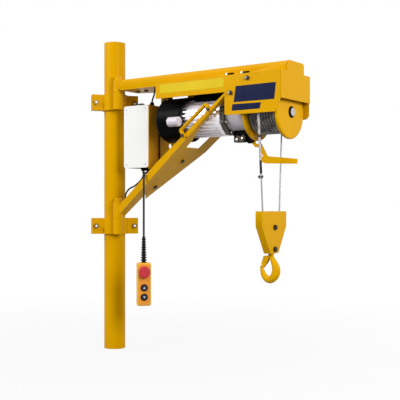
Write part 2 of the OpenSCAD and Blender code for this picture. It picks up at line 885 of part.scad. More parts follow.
module capacitor() {
    c = [0, -capacitor_y, axis_z - 14];
    start = cowl_start + 76;
    color("#d9d4de") difference() {
        translate([start, 0, 0]) translate(c) rotate([0, 90, 0]) union() {
            cylinder(d = capacitor_d, h = capacitor_l);
            translate([0, 0, capacitor_l]) cylinder(d = capacitor_d - 6, h = 1.5);
        }
    }
    color(steel) difference() {
        translate([start + 4, -capacitor_y, axis_z - 23]) cube([16, capacitor_y, 18]);
        axle_rod(start, 60, cowl_d);
        translate([start, 0, 0]) translate(c) rotate([0, 90, 0])
            cylinder(d = capacitor_d, h = capacitor_l);
    }
}

module limit_switch() {
    top = axis_z - gearbox_d / 2 - 3;
    cheek_in = lever_t / 2 + 0.5;
    color(steel) difference() {
        translate([525, -14, top]) cube([50, 28, 14]);
        axle_rod(500, 100, gearbox_d);
    }
    color(black) translate([525, -14, top - 33]) cube([48, 28, 33]);
    color(steel) for (side = [0, 1]) mirror([0, side, 0]) difference() {
        along_y(cheek_in, 4) union() {
            polygon([[573, 712], [lever_x, 714], [lever_x + 4, 717], [lever_x + 4, 730],
                     [573, 742]]);
            translate([lever_x, lever_z]) circle(9);
        }
        translate([lever_x, -20, lever_z]) rotate([-90, 0, 0]) cylinder(d = 6, h = 40);
    }
    color(steel) translate([lever_x, -cheek_in - 6, lever_z]) rotate([-90, 0, 0])
        cylinder(d = 6, h = 2 * cheek_in + 12);
}

module limit_lever() {
    color(yellow) difference() {
        union() {
            along_y(-lever_t / 2, lever_t) translate([lever_x, lever_z]) circle(9);
            along_y(-lever_t / 2, lever_t)
                polygon([[lever_x - 1, lever_z - 8], [lever_x + 8, lever_z - 1],
                         [lever_x + 14, 710], [620, 710], [643, 669], [750, 657],
                         [750, 657 - 0.7 * lever_bar_h], [636, 668 - lever_bar_h],
                         [614, 655], [614, 667], [628, 669], [611, 699], [598, 699]]);
        }
        translate([lever_x, -lever_t, lever_z]) rotate([-90, 0, 0])
            cylinder(d = 6 + 2 * run_gap, h = 2 * lever_t);
    }
}

// ---------- drum ----------

module drum_spool() {
    rim = 5;
    crown = 1.5;
    color(yellow) {
        motor_axis(drum_start) rotate_extrude() {
            translate([shaft_d / 2, 0]) square([core_d / 2 - shaft_d / 2, spool_end - drum_start + 1]);
            translate([shaft_d / 2, 0]) square([disc_d / 2 - shaft_d / 2, inner_disc_t]);
        }
        motor_axis(spool_end) rotate_extrude()
            polygon([[shaft_d / 2, 0], [disc_d / 2, 0], [disc_d / 2, outer_disc_t - crown - rim],
                     [disc_d / 2 - 0.3 * rim, outer_disc_t - crown - 0.3 * rim],
                     [disc_d / 2 - rim, outer_disc_t - crown], [hub_d / 2 + 3, outer_disc_t],
                     [shaft_d / 2, outer_disc_t]]);
    }
}

module drum_shaft() {
    nut = 6;
    color(steel) motor_axis(shaft_start) union() {
        cylinder(d = shaft_d, h = outer_end - shaft_start + nut);
        translate([0, 0, outer_end - shaft_start]) cylinder(d = hub_d - 4, h = 2);
    }
}

module rope_pack() {
    turns = floor(drum_w / rope_d);
    r = pack_d / 2 - rope_d / 2;
    lead = (drum_w - turns * rope_d) / 2;
    color("#6d6f72") motor_axis(spool_inside) rotate_extrude() union() {
        translate([core_d / 2, 0]) square([r - core_d / 2, drum_w]);
        for (i = [0 : turns - 1]) translate([r, lead + (i + 0.5) * rope_d]) circle(d = rope_d);
    }
}

// ---------- rope and hook block ----------

// Across the jib, the fixed fall's place at height z
function fall_y(z) = -dead_y + (dead_y - sheave_r) * (dead_top - z) / (dead_top - sheave_z);
fall_lean = atan2(dead_y - sheave_r, dead_top - sheave_z);

// A rod round the fixed fall, from z up by length
module on_fall(z) {
    translate([fall_x, fall_y(z), z]) rotate([fall_lean, 0, 0]) children();
}

module dead_end_rope() {
    anchor_w = 17;
    color(steel) difference() {
        translate([fall_x - anchor_w / 2, near_y, dead_top - 6])
            cube([anchor_w, -near_y - dead_y + rope_d / 2 + 1, 26]);
        on_fall(clip_z) cylinder(d = rope_d, h = dead_top + 12 - clip_z);
    }
    color("#6d6f72") on_fall(clip_z) cylinder(d = rope_d, h = dead_top + 12 - clip_z);
}

module rope_stop() {
    clip_h = 20;
    sleeve_h = 41;
    wall = 1.5;
    leg = 5.5;
    color(steel) difference() {
        on_fall(clip_z) union() {
            translate([-leg, -4, 0]) cube([2 * leg, 8, clip_h]);
            for (side = [-1, 1]) translate([side * leg, 0, 0]) cylinder(d = 8, h = clip_h);
        }
        on_fall(clip_z - 20) cylinder(d = rope_d, h = clip_h + 40);
        translate([fall_x - 30, -100, clip_z - 20]) cube([60, 100, 20.3]);
    }
    color(black) difference() {
        on_fall(clip_z + clip_h) cylinder(d = rope_d + 2 * wall, h = sleeve_h);
        on_fall(clip_z) cylinder(d = rope_d, h = sleeve_h + 60);
    }
}

module near_fall() {
    path = [for (i = [0 : 10]) let (z = sheave_z + 0.3 + i * (clip_z - 0.3 - sheave_z) / 10)
        [fall_x, fall_y(z), z]];
    color("#6d6f72") swept(path, [for (p = path) rope_d / 2], [1, 0, 0], 10);
}

module far_fall() {
    top_y = pack_d / 2 + rope_d / 2 + 0.3;
    path = [for (i = [0 : 20]) let (t = 0.001 + 0.999 * i / 20)
        [fall_x, sheave_r + (top_y - sheave_r) * t, sheave_z + (axis_z - sheave_z) * t]];
    color("#6d6f72") swept(path, [for (p = path) rope_d / 2], [1, 0, 0], 10);
}

// The block's outline about the sheave's axis, drawn in by inset
module block_outline(inset, over) {
    w = block_w / 2 - inset;
    fw = block_foot_w / 2 - inset;
    polygon([[-w, block_up + over], [-w, 4], [-fw, -block_down - over],
             [fw, -block_down - over], [w, 4], [w, block_up + over]]);
}

module block_shell() {
    x0 = fall_x - block_t / 2;
    color(yellow) difference() {
        along_x(x0, block_t) translate([0, sheave_z]) block_outline(0, 0);
        along_x(x0 + block_sheet, block_t - 2 * block_sheet) translate([0, sheave_z])
            block_outline(block_sheet, 1);
        for (z = [sheave_z, cross_z]) translate([x0 - 1, 0, z]) rotate([0, 90, 0])
            cylinder(d = axle_d, h = block_t + 2);
    }
}

module block_sheave() {
    w = 13;
    rim = sheave_r + 3.5;
    color(steel) translate([fall_x - w / 2, 0, sheave_z]) rotate([90, 0, 90])
        rotate_extrude() difference() {
            translate([axle_d / 2, 0]) square([rim - axle_d / 2, w]);
            translate([sheave_r, w / 2]) circle(d = rope_d);
            translate([sheave_r, w / 2 - rope_d / 2]) square([rim, rope_d]);
        }
}

module block_pins() {
    x0 = fall_x - block_t / 2;
    cross_w = 24;
    cross_h = 20;
    inner = block_t - 2 * block_sheet;
    head = 7;
    color(steel) {
        for (z = [sheave_z, cross_z]) translate([x0, 0, z]) rotate([0, 90, 0]) {
            translate([0, 0, -head]) cylinder(d = 17, h = head, $fn = 6);
            translate([0, 0, block_t]) cylinder(d = 17, h = head, $fn = 6);
        }
        translate([x0, 0, sheave_z]) rotate([0, 90, 0]) cylinder(d = axle_d, h = block_t);
        for (x = [x0, x0 + block_t - block_sheet]) translate([x, 0, cross_z]) rotate([0, 90, 0])
            cylinder(d = axle_d, h = block_sheet);
        difference() {
            translate([x0 + block_sheet, -cross_w / 2, cross_z - cross_h / 2])
                cube([inner, cross_w, cross_h]);
            translate([fall_x, 0, cross_z - cross_h]) cylinder(d = shank_d + 2 * run_gap, h = 2 * cross_h);
            translate([fall_x, 0, cross_z]) cylinder(d = shank_d + 4, h = cross_h);
        }
    }
}

module rope_bight() {
    color("#6d6f72") translate([fall_x, 0, sheave_z]) rotate([90, 0, 90]) rotate([0, 0, 180])
        rotate_extrude(angle = 180) translate([sheave_r, 0]) circle(d = rope_d);
}

module hook() {
    lug_w = 8;
    path = spline([for (p = hook_route) [fall_x + p.x, 0, p.y]], 3);
    radii = [for (r = spline([for (q = hook_radii) [q, 0]], 3)) r.x];
    neck_z = 361;
    color(yellow) {
        translate([fall_x, 0, 348]) cylinder(d = shank_d, h = cross_z + 6 - 348);
        translate([fall_x, 0, cross_z + 0.3]) cylinder(d = shank_d + 3, h = 6.5);
        translate([fall_x, 0, 355]) cylinder(d = 19, h = neck_z - 355);
        swept(path, radii, [0, 1, 0], 16, 0.72);
        difference() {
            translate([fall_x - latch_reach, -lug_w / 2, latch_z]) rotate([-90, 0, 0])
                cylinder(d = 11, h = lug_w);
            translate([fall_x - latch_reach, -lug_w, latch_z]) rotate([-90, 0, 0])
                cylinder(d = 4 + 2 * run_gap, h = 2 * lug_w);
        }
    }
}

module safety_latch() {
    lug_w = 8;
    cheek = 1.5;
    gap = 0.4;
    w = lug_w / 2 + gap + cheek;
    px = fall_x - latch_reach;
    color(steel) {
        for (side = [0, 1]) mirror([0, side, 0]) along_y(lug_w / 2 + gap, cheek) union() {
            translate([px, latch_z]) circle(5.5);
            polygon([[px - 3, latch_z + 4.5], [px - 14, latch_z + 3.5], [px - 19, 337],
                     [px - 22, 330], [px - 20, 318], [px - 16.5, 314], [px - 11, 322],
                     [px - 3, 330], [px + 4, latch_z - 4]]);
        }
        along_y(-w, 2 * w) polygon([[px - 9.6, latch_z - 9], [px - 7, latch_z - 10.5],
                                    [px - 15, 318], [px - 16.5, 314], [px - 20, 318]]);
        translate([px, -w, latch_z]) rotate([-90, 0, 0]) cylinder(d = 4, h = 2 * w);
    }
}

// ---------- pendant ----------

// The pendant's own frame: the origin under its middle, the front facing -Y
module on_pendant() {
    translate([pendant_x, pendant_y, pendant_z]) rotate([0, 0, pendant_turn]) children();
}

// A button's bore or shaft into the pendant's front, from depth a to depth b outside the face
module from_front(z, a, b, d) {
    translate([0, -pendant_depth / 2 - b, z - pendant_z]) rotate([-90, 0, 0])
        cylinder(d = d, h = b - a);
}

module pendant_cord() {
    path = spline(cord_route, 5);
    color(black) swept(path, [for (p = path) cord_d / 2], [0.37, 0.91, 0.19], 8);
}

module pendant_boot() {
    ribs = 9;
    cuff = 10;
    base_r = cord_d / 2 + 6.3;
    top_r = cord_d / 2 + 2.8;
    step = (boot_l - cuff - 4) / ribs;
    color(black) translate([pendant_x, pendant_y, pendant_z + pendant_h])
        rotate_extrude() {
            polygon([[0, 0], [base_r, 0], [base_r, cuff], [top_r, boot_l], [0, boot_l]]);
            for (i = [0 : ribs - 1]) {
                r = base_r + 1 - (base_r - top_r) * i / ribs;
                translate([0, cuff + i * step]) square([r, step * 0.55]);
            }
        }
}

module pendant_housing() {
    r = 7;
    collar = 3;
    color("#e09a1c") on_pendant() difference() {
        union() {
            translate([-pendant_w / 2, -pendant_depth / 2, 3])
                linear_extrude(pendant_h - 6) rounded_rect(pendant_w, pendant_depth, r);
            translate([-pendant_w / 2 + 3, -pendant_depth / 2 + 3, 0])
                linear_extrude(pendant_h) rounded_rect(pendant_w - 6, pendant_depth - 6, r - 3);
            for (z = [up_z, down_z]) from_front(z, -1, collar, button_d + 5);
            from_front(stop_z, -1, collar, stem_d + 7);
        }
        for (z = [up_z, down_z]) from_front(z, -12, collar + 1, button_d + 2 * run_gap);
        from_front(stop_z, -12, collar + 1, stem_d + 2 * run_gap);
    }
}

module push_button(z) {
    on_pendant() {
        from_front(z, -11 + button_travel, 6, button_d);
        from_front(z, 5, 6.8, button_d - 6);
    }
}

module up_button() { color(black) push_button(up_z); }
module down_button() { color(black) push_button(down_z); }

module stop_button() {
    cap = 10;
    under = 3 + button_travel + face_gap;
    color("#c8202c") on_pendant() {
        from_front(stop_z, -11 + button_travel, under + 1, stem_d);
        translate([0, -pendant_depth / 2 - under, stop_z - pendant_z]) rotate([90, 0, 0])
            rotate_extrude() {
                square([stop_d / 2 - 3, cap]);
                square([stop_d / 2, cap - 3]);
                translate([stop_d / 2 - 3, cap - 3]) circle(3);
            }
    }
}

mast();
clamp_fronts();
clamp_backs();
clamp_bolts();
hinge_pins();
hinge_knuckles();
jib_beam();
roof_plate();
near_side_plate();
far_side_plate();
front_cover();
cradle();
carry_handle();
frame_bolts();
motor_plate();
control_box();
cable_glands();
fan_cowl();
motor_body();
motor_flange();
gearbox();
terminal_box();
cable_harness();
capacitor();
limit_switch();
dead_end_rope();
rope_stop();
near_fall();
far_fall();
pendant_cord();
pendant_boot();
pendant_housing();
stop_button();
up_button();
down_button();
limit_lever();
drum_spool();
drum_shaft();
rope_pack();
block_shell();
block_sheave();
block_pins();
rope_bight();
hook();
safety_latch();
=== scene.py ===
"""Finishes, small pieces and light for an electric bracket hoist on a swinging jib.

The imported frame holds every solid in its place. This script gives each node its finish, stands
copies with rounded edges in for the folded, welded and moulded parts, and adds the weld beads,
fasteners, bare plates, strands and cord that the frame keeps plain. X runs along the jib from the
mast to the hook, -Y is the control side and Z is up. Lengths are metres unless a name ends in _mm.
"""

import json
import logging
import math
from dataclasses import dataclass, field
from enum import Enum

import bmesh
import bpy
import numpy as np
from mathutils import Matrix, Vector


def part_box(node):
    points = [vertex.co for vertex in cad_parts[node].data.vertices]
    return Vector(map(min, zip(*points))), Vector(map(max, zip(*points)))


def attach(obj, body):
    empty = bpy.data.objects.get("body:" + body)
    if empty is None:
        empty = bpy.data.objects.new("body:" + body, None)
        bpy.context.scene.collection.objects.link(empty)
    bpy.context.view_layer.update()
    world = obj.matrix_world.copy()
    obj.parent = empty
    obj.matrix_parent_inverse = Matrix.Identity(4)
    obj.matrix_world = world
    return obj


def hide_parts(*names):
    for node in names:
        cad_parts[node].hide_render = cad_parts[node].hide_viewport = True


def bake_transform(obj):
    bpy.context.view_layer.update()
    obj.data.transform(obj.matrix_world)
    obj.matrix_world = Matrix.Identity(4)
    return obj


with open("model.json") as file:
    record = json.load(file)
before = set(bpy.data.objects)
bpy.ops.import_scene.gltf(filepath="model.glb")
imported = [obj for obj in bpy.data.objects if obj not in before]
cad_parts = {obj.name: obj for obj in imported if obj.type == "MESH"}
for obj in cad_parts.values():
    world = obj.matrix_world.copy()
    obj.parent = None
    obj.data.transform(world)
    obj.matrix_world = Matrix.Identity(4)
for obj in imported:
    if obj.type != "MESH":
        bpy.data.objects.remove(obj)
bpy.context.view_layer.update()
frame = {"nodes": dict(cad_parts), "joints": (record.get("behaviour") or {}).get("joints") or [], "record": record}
log = logging.getLogger("bracket_hoist")
MM = 0.001
TAU = 2 * math.pi
# Where a profile meets its axis, in millimetres: a little off it, so that a ring stays a ring
TIP = 0.01
# A surface's points and its faces
Surface = tuple[np.ndarray, list]
Socket = bpy.types.NodeSocket


def linear(hex_colour: str) -> tuple[float, float, float, float]:
    """Turns an sRGB hex colour into the linear colour that a shader takes.

    Args:
        hex_colour: Six hex digits after a hash sign.

    Returns:
        Linear red, green and blue, and an alpha of 1.
    """
    srgb = np.array([int(hex_colour[i : i + 2], 16) for i in (1, 3, 5)]) / 255
    low, high = srgb / 12.92, ((srgb + 0.055) / 1.055) ** 2.4
    return (*(float(c) for c in np.where(srgb <= 0.04045, low, high)), 1.0)


@dataclass
class Bench:
    """A node tree that is being put together.

    Attributes:
        owner: The material or the world that it belongs to.
    """

    owner: bpy.types.ID

    def __post_init__(self) -> None:
        """Empties the owner's tree."""
        self.owner.use_nodes = True
        self.owner.node_tree.nodes.clear()

    def node(self, kind: str, feeds: dict | None = None, **settings: object) -> bpy.types.Node:
        """Adds one shader node with its settings and links.

        Args:
            kind: The node's class name after ShaderNode.
            feeds: Input name or number, to the value or the socket that it takes.
            settings: Properties of the node itself.

        Returns:
            The new node.
        """
        node = self.owner.node_tree.nodes.new("ShaderNode" + kind)
        for name, value in settings.items():
            setattr(node, name, value)
        for key, value in (feeds or {}).items():
            if isinstance(value, Socket):
                self.owner.node_tree.links.new(value, node.inputs[key])
            else:
                node.inputs[key].default_value = value
        return node

    def maths(self, operation: str, *values: object) -> Socket:
        """Adds one sum.

        Args:
            operation: What is done.
            values: What it is done to, as numbers or sockets.

        Returns:
            Its result.
        """
        return self.node("Math", dict(enumerate(values)), operation=operation).outputs[0]

    def ramp(self, value: Socket, reads: tuple, gives: tuple = (0.0, 1.0)) -> Socket:
        """Maps one range onto another, and stays within it.

        Args:
            value: What is mapped.
            reads: The two values that it goes between.
            gives: What they become.

        Returns:
            The mapped value.
        """
        return self.node("MapRange", dict(enumerate((value, *reads, *gives)))).outputs[0]

    def noise(self, place: Socket, size_mm: float, gives: tuple | None = None) -> Socket:
        """Adds noise.

        Args:
            place: The coordinates it reads.
            size_mm: How wide its patches are.
            gives: What its middle range is spread over, where it is.

        Returns:
            Its value.
        """
        feeds = {"Vector": place, "Scale": 1 / (size_mm * MM), "Detail": 2.0}
        value = self.node("TexNoise", feeds).outputs["Fac"]
        return self.ramp(value, (0.3, 0.7), gives) if gives else value

    def mix(self, factor: Socket, first: str, second: str) -> Socket:
        """Mixes two colours.

        Args:
            factor: Share of the second.
            first, second: The colours.

        Returns:
            The mixed colour.
        """
        feeds = {0: factor, 6: linear(first), 7: linear(second)}
        return self.node("Mix", feeds, data_type="RGBA").outputs[2]

    def bump(self, height: Socket, strength: float, depth_mm: float) -> Socket:
        """Adds relief.

        Args:
            height: The relief's height, from 0 to 1.
            strength: How strongly it shows.
            depth_mm: Its depth.

        Returns:
            The normal that it gives.
        """
        feeds = {"Height": height, "Strength": strength, "Distance": depth_mm * MM}
        return self.node("Bump", feeds).outputs[0]


# ---------- finishes ----------


@dataclass(frozen=True)
class Finish:
    """A finish with a grain of its own: the start of every other one.

    Attributes:
        name: The material's name.
        colour: Its main colour.
        shade: The colour that its slow variation leans to.
        roughness: Mean roughness.
        metallic: 1 for bare metal, 0 for anything coated or moulded.
        ior: Index of refraction of what isn't metal.
        grain_mm: Size of the surface's fine relief.
        relief: Strength of that relief.
        gloss: Strength of the plain reflection, 0.5 for a polished surface.
        drift_mm: Size of the patches where the colour leans to the shade.
        drift: How far it leans there.
    """

    name: str
    colour: str
    shade: str
    roughness: float
    metallic: float = 0.0
    ior: float = 1.5
    grain_mm: float = 1.5
    relief: float = 0.05
    gloss: float = 0.4
    drift_mm: float = 90.0
    drift: float = 0.5

    def build(self) -> bpy.types.Material:
        """Makes the material, once.

        Returns:
            The material, new or as it was made before.
        """
        made = bpy.data.materials.get(self.name)
        if made:
            return made
        material = bpy.data.materials.new(self.name)
        bench = Bench(material)
        place = bench.node("TexCoord").outputs["Object"]
        feeds = {"Metallic": self.metallic, **self.dress(bench, place)}
        if not self.metallic:
            feeds |= {"IOR": self.ior, "Specular IOR Level": self.gloss}
        shader = bench.node("BsdfPrincipled", feeds)
        bench.node("OutputMaterial", {"Surface": shader.outputs[0]})
        return material

    def dress(self, bench: Bench, place: Socket) -> dict:
        """Gives the shader its colour drift, its uneven gloss and its fine relief.

        Args:
            bench: Where the material is put together.
            place: The coordinates that the patterns read.

        Returns:
            Names of the shader's inputs, to what they take.
        """
        leaning = bench.noise(place, self.drift_mm, (0.0, self.drift))
        unevenness = (self.roughness - 0.05, self.roughness + 0.05)
        grain = bench.noise(place, self.grain_mm)
        return {"Base Color": bench.mix(leaning, self.colour, self.shade),
                "Roughness": bench.noise(place, self.drift_mm / 3, unevenness),
                "Normal": bench.bump(grain, self.relief, self.grain_mm / 4)}


@dataclass(frozen=True)
class SprayedEnamel(Finish):
    """Gloss enamel sprayed on steel: an orange-peel skin under a thin clear gloss.

    Attributes:
        coat: Weight of the clear gloss over the pigment.
        glow: Tint that the pigment lends to the plain reflection.
    """

    coat: float = 0.0
    glow: str = "#FFFFFF"

    def dress(self, bench: Bench, place: Socket) -> dict:
        """Adds the clear gloss, and warms the plain reflection with the pigment.

        Args:
            bench, place: As in the plain finish.

        Returns:
            Names of the shader's inputs, to what they take.
        """
        return {**super().dress(bench, place), "Specular Tint": linear(self.glow),
                "Coat Weight": self.coat, "Coat Roughness": 0.12}


@dataclass(frozen=True)
class BrushedMetal(Finish):
    """Zinc-plated or turned steel: fine scratches drawn out along X.

    Attributes:
        stretch: How many times longer than wide a scratch is.
    """

    stretch: float = 14.0

    def dress(self, bench: Bench, place: Socket) -> dict:
        """Puts scratches in the place of the plain grain.

        Args:
            bench, place: As in the plain finish.

        Returns:
            Names of the shader's inputs, to what they take.
        """
        drawn = bench.node("Mapping", {"Vector": place, "Scale": (1 / self.stretch, 1, 1)})
        scratches = bench.bump(bench.noise(drawn.outputs[0], 0.9), 0.12, 0.1)
        return {**super().dress(bench, place), "Normal": scratches}


@dataclass(frozen=True)
class LaidWire(Finish):
    """Greased wire rope: bright strands with painted shade in the lay between them, dulled by grease in patches.

    Attributes:
        lay_mm: Distance along the rope from one strand to the next.
        lean: Slant of the strands across the rope, as travel along Z for each travel along X.
        turn_shade_mm: Distance along X between dark bands of painted shade where two turns meet,
        0 for none. Every second turn's is drawn, so that the turns still show from afar.
    """

    lay_mm: float = 2.6
    lean: float = 0.8
    turn_shade_mm: float = 0.0

    def dress(self, bench: Bench, place: Socket) -> dict:
        """Draws slanting strands in colour and relief: painted shade in the lay between them, and grease that
        dulls them in patches.

        Args:
            bench, place: As in the plain finish.

        Returns:
            Names of the shader's inputs, to what they take.
        """
        x, y, z = bench.node("SeparateXYZ", {0: place}).outputs
        slant = bench.maths("MULTIPLY_ADD", bench.maths("ADD", x, y), self.lean, z)
        wave = bench.maths("SINE", bench.maths("MULTIPLY", slant, TAU / (self.lay_mm * MM)))
        strand = bench.ramp(wave, (-1.0, 0.6))
        grease = bench.noise(place, self.drift_mm, (0.35, 1.0))
        unshaded_ungreased = bench.maths("MULTIPLY", strand, grease)
        # Dark bands every second turn, where two turns meet: painted shade between the turns
        if self.turn_shade_mm:
            along = bench.maths("MULTIPLY", x, TAU / (self.turn_shade_mm * MM))
            turn_shade = bench.ramp(bench.maths("COSINE", along), (-0.9, 0.1), (0.12, 1.0))
            unshaded_ungreased = bench.maths("MULTIPLY", unshaded_ungreased, turn_shade)
        # Down in the lay the colour leans to the dark shade colour: painted shade between the strands
        return {"Base Color": bench.mix(unshaded_ungreased, self.shade, self.colour),
                "Roughness": bench.ramp(unshaded_ungreased, (0.0, 1.0), (0.6, self.roughness)),
                "Normal": bench.bump(strand, 0.5, 0.5)}


@dataclass(frozen=True)
class Moulding(Finish):
    """Moulded plastic or rubber: an even fine spark-eroded grain.

    Attributes:
        sheen: Soft edge light of rubber and matt plastic.
    """

    grain_mm: float = 1.0
    relief: float = 0.02
    sheen: float = 0.0

    def dress(self, bench: Bench, place: Socket) -> dict:
        """Adds the sheen to the plain finish.

        Args:
            bench, place: As in the plain finish.

        Returns:
            Names of the shader's inputs, to what they take.
        """
        return {**super().dress(bench, place), "Sheen Weight": self.sheen}


# Enamel, sprayed over welded steel: orange peel about 1.4 mm across and a warm, even yellow
YELLOW = SprayedEnamel("yellow_enamel", "#DDA400", "#C68F00", 0.33, grain_mm=1.4, relief=0.06,
                       gloss=0.12, drift_mm=110, drift=0.35, glow="#FFD060")
# The same enamel on a moving hook: dulled by handling
HOOK_YELLOW = SprayedEnamel("yellow_enamel_hook", "#E2A900", "#B68400", 0.36, grain_mm=1.2,
                            relief=0.1, gloss=0.26, drift_mm=26, drift=0.5,
                            glow="#FFD060")
# Zinc plate on rolled steel: pale blue-grey, finely scratched
ZINC = BrushedMetal("zinc_plate", "#B9BBBE", "#8E9196", 0.34, 1.0, drift_mm=14)
# Zinc with a dark bronze passivation, on the clamp bolts, made darker still as painted shade round their heads
BRONZED_AND_SHADED = BrushedMetal("bronze_zinc_with_painted_shade", "#7A6030", "#4A3A20", 0.4, 1.0, drift_mm=9)
# Blued fasteners: dark oxide with a low gloss
BLUED = BrushedMetal("blued_steel", "#4A4238", "#2A2622", 0.42, 1.0, drift_mm=9)
# Turned shaft end: bright steel
TURNED = BrushedMetal("turned_steel", "#E2E0DC", "#BDBAB4", 0.22, 1.0, drift_mm=16, stretch=6)
# Wire rope under tension, strands drawn twice as coarse as real so that they show
ROPE = LaidWire("wire_rope", "#C9CACB", "#4E4F50", 0.34, 1.0, drift_mm=30, lay_mm=2.6)
# The same rope on the drum: near-black painted shade in the lay, grease in patches, and bands of painted shade
# where the turns meet
WOUND_ROPE = LaidWire("wound_rope", "#BDBBB8", "#0C0C0C", 0.34, 1.0, drift_mm=24, lay_mm=3.2,
                      lean=0.35, turn_shade_mm=10)
# Cotton-white sleeve on the doubled strand
PALE_SLEEVE = LaidWire("pale_strand", "#E4DCDD", "#8E8487", 0.42, 0.6, drift_mm=20, lay_mm=3.6)
# White polyester shell: faintly warm, satin
WHITE_SHELL = Moulding("white_shell", "#F4F4F2", "#E9E9E6", 0.45, grain_mm=1.1, relief=0.04)
# Bare die-cast aluminium fins, tumbled bright
CAST_WHITE = Finish("bright_cast_aluminium", "#FAF8FB", "#E4E0E6", 0.36, 1.0, grain_mm=2.2,
                    relief=0.1, drift_mm=36)
# Cast aluminium, bead blasted and lacquered: cool lilac grey
CAST_GREY = SprayedEnamel("cast_grey_lacquer", "#CFCBD3", "#B2ADB7", 0.38, grain_mm=1.8,
                          relief=0.12, drift_mm=40)
# Cast iron flange, oiled and dark
CAST_DARK = Finish("cast_iron", "#514B45", "#2E2A27", 0.5, ior=1.6, grain_mm=2.4, relief=0.3,
                   drift_mm=18)
# Drawn aluminium can in a pale sleeve
PALE_CAN = Moulding("pale_sleeve", "#D9D3DB", "#C6BFC9", 0.4, grain_mm=0.9, relief=0.03)
# Black nylon and polypropylene: deep, with a low satin
BLACK_PLASTIC = Moulding("black_nylon", "#040506", "#020203", 0.38, ior=1.53, grain_mm=1.2,
                         relief=0.05, gloss=0.03)
# Rubber sheath of the cables: matt with a soft edge
RUBBER = Moulding("black_rubber", "#151516", "#0C0C0D", 0.58, ior=1.52, grain_mm=1.6, relief=0.1,
                  gloss=0.16, sheen=0.03)
# Orange-yellow polypropylene pendant: the shell, and a deeper front that leaves the shell's paler border as a
# painted highlight round the rim
ORANGE = Moulding("orange_polypropylene", "#F4B83C", "#EAA92E", 0.42, ior=1.49, grain_mm=1.3,
                  relief=0.08, gloss=0.3, drift_mm=40)
FRONT_ORANGE_UNDER_PAINTED_RIM = Moulding("front_orange_under_painted_rim", "#EE9A36", "#E38E2C", 0.45, ior=1.49,
                       grain_mm=1.3, relief=0.08, gloss=0.25, drift_mm=40)
# Glossy boot of soft PVC: its ribs catch the light in thin lines
BOOT = Moulding("black_pvc_boot", "#080809", "#050506", 0.32, ior=1.53, gloss=0.16)
# Slate acetal, on the two push buttons
SLATE = Moulding("slate_acetal", "#2C2B34", "#222129", 0.36, ior=1.48, gloss=0.2)
# Glossy red phenolic button
RED = Moulding("red_phenolic", "#CC2A39", "#B42231", 0.3, ior=1.55)
# Films, bare of any print, and the pale arrowheads
BLUE_FILM = Moulding("blue_film", "#0E1A40", "#0A1332", 0.3, gloss=0.08)
LEMON_FILM = Moulding("lemon_film", "#E0C200", "#CFB200", 0.32, gloss=0.12)
PALE_INLAY = Moulding("pale_inlay", "#B4B8C8", "#A2A6B6", 0.35, grain_mm=0.8)


# ---------- surfaces ----------


def add_piece(name: str, mesh: bpy.types.Mesh, finish: Finish, body: str | None,
              instead_of: str | None) -> bpy.types.Object:
    """Puts a finished mesh into the scene, under its body, and hides the node that it stands in for.

    Args:
        name: The piece's name.
        mesh: Its mesh, in the frame's own metres.
        finish: The finish it takes.
        body: The body it moves with, or None for a piece left without one.
        instead_of: The frame's node that it stands in for, where it does.

    Returns:
        The new object.
    """
    mesh.materials.clear()
    mesh.materials.append(finish.build())
    piece = bpy.data.objects.new(name, mesh)
    bpy.context.scene.collection.objects.link(piece)
    if body:
        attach(piece, body)
    if instead_of:
        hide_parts(instead_of)
    log.info("%s: %d faces on %s, %s", name, len(mesh.polygons), body or "two bodies", finish.name)
    return piece


def make_piece(name: str, surface: Surface, finish: Finish, body: str | None,
               smooth: bool = True,
               instead_of: str | None = None) -> bpy.types.Object:
    """Makes a piece from a worked-out surface.

    Args:
        name, finish, body, instead_of: As add_piece takes them.
        surface: Its points, and the point numbers of each face, outward side anticlockwise.
        smooth: Whether its faces are shaded as one curved surface.

    Returns:
        The new object.
    """
    points, faces = surface
    mesh = bpy.data.meshes.new(name)
    mesh.from_pydata(points.reshape(-1, 3).tolist(), [], faces)
    mesh.polygons.foreach_set("use_smooth", np.full(len(mesh.polygons), smooth))
    return add_piece(name, mesh, finish, body, instead_of)


def grid_faces(rows: int, columns: int, offset: int = 0) -> list:
    """Quads of a grid closed round its columns, with its end rows capped.

    Args:
        rows: Number of rings.
        columns: Points on each ring.
        offset: Number of the grid's first point.

    Returns:
        The faces, outward where the rings run anticlockwise about the way they advance.
    """
    first = np.arange(rows - 1)[:, None] * columns + np.arange(columns)[None, :]
    beside = np.arange(rows - 1)[:, None] * columns + (np.arange(columns)[None, :] + 1) % columns
    quads = np.stack([first, beside, beside + columns, first + columns], -1).reshape(-1, 4) + offset
    start = list(range(offset + columns - 1, offset - 1, -1))
    end = list(range(offset + (rows - 1) * columns, offset + rows * columns))
    return quads.tolist() + [start, end]


def axis_frame(axis: np.ndarray) -> np.ndarray:
    """Finds two directions square to an axis.

    Args:
        axis: The axis, of any length.

    Returns:
        Three unit rows, the last along the axis.
    """
    axis = np.asarray(axis, float) / np.linalg.norm(axis)
    helper = np.array([0.0, 0.0, 1.0]) if abs(axis[2]) < 0.9 else np.array([1.0, 0.0, 0.0])
    first = np.cross(helper, axis)
    first /= np.linalg.norm(first)
    return np.stack([first, np.cross(axis, first), axis])


def lathe(profile_mm: list, sides: int, centre: tuple, axis: tuple) -> Surface:
    """A turned surface: each profile point's radius swept round the axis at its height.

    Args:
        profile_mm: Radius and height of each point, from the base up.
        sides: Points round each ring; 6 gives a hexagon.
        centre: Where the profile's base stands.
        axis: The way its heights run.

    Returns:
        Points and faces.
    """
    radius, height = np.array(profile_mm, float).T * MM
    turn = TAU * np.arange(sides) / sides
    local = np.stack([radius[:, None] * np.cos(turn), radius[:, None] * np.sin(turn),
                      np.repeat(height[:, None], sides, 1)], -1)
    return local @ axis_frame(axis) + np.array(centre), grid_faces(len(radius), sides)


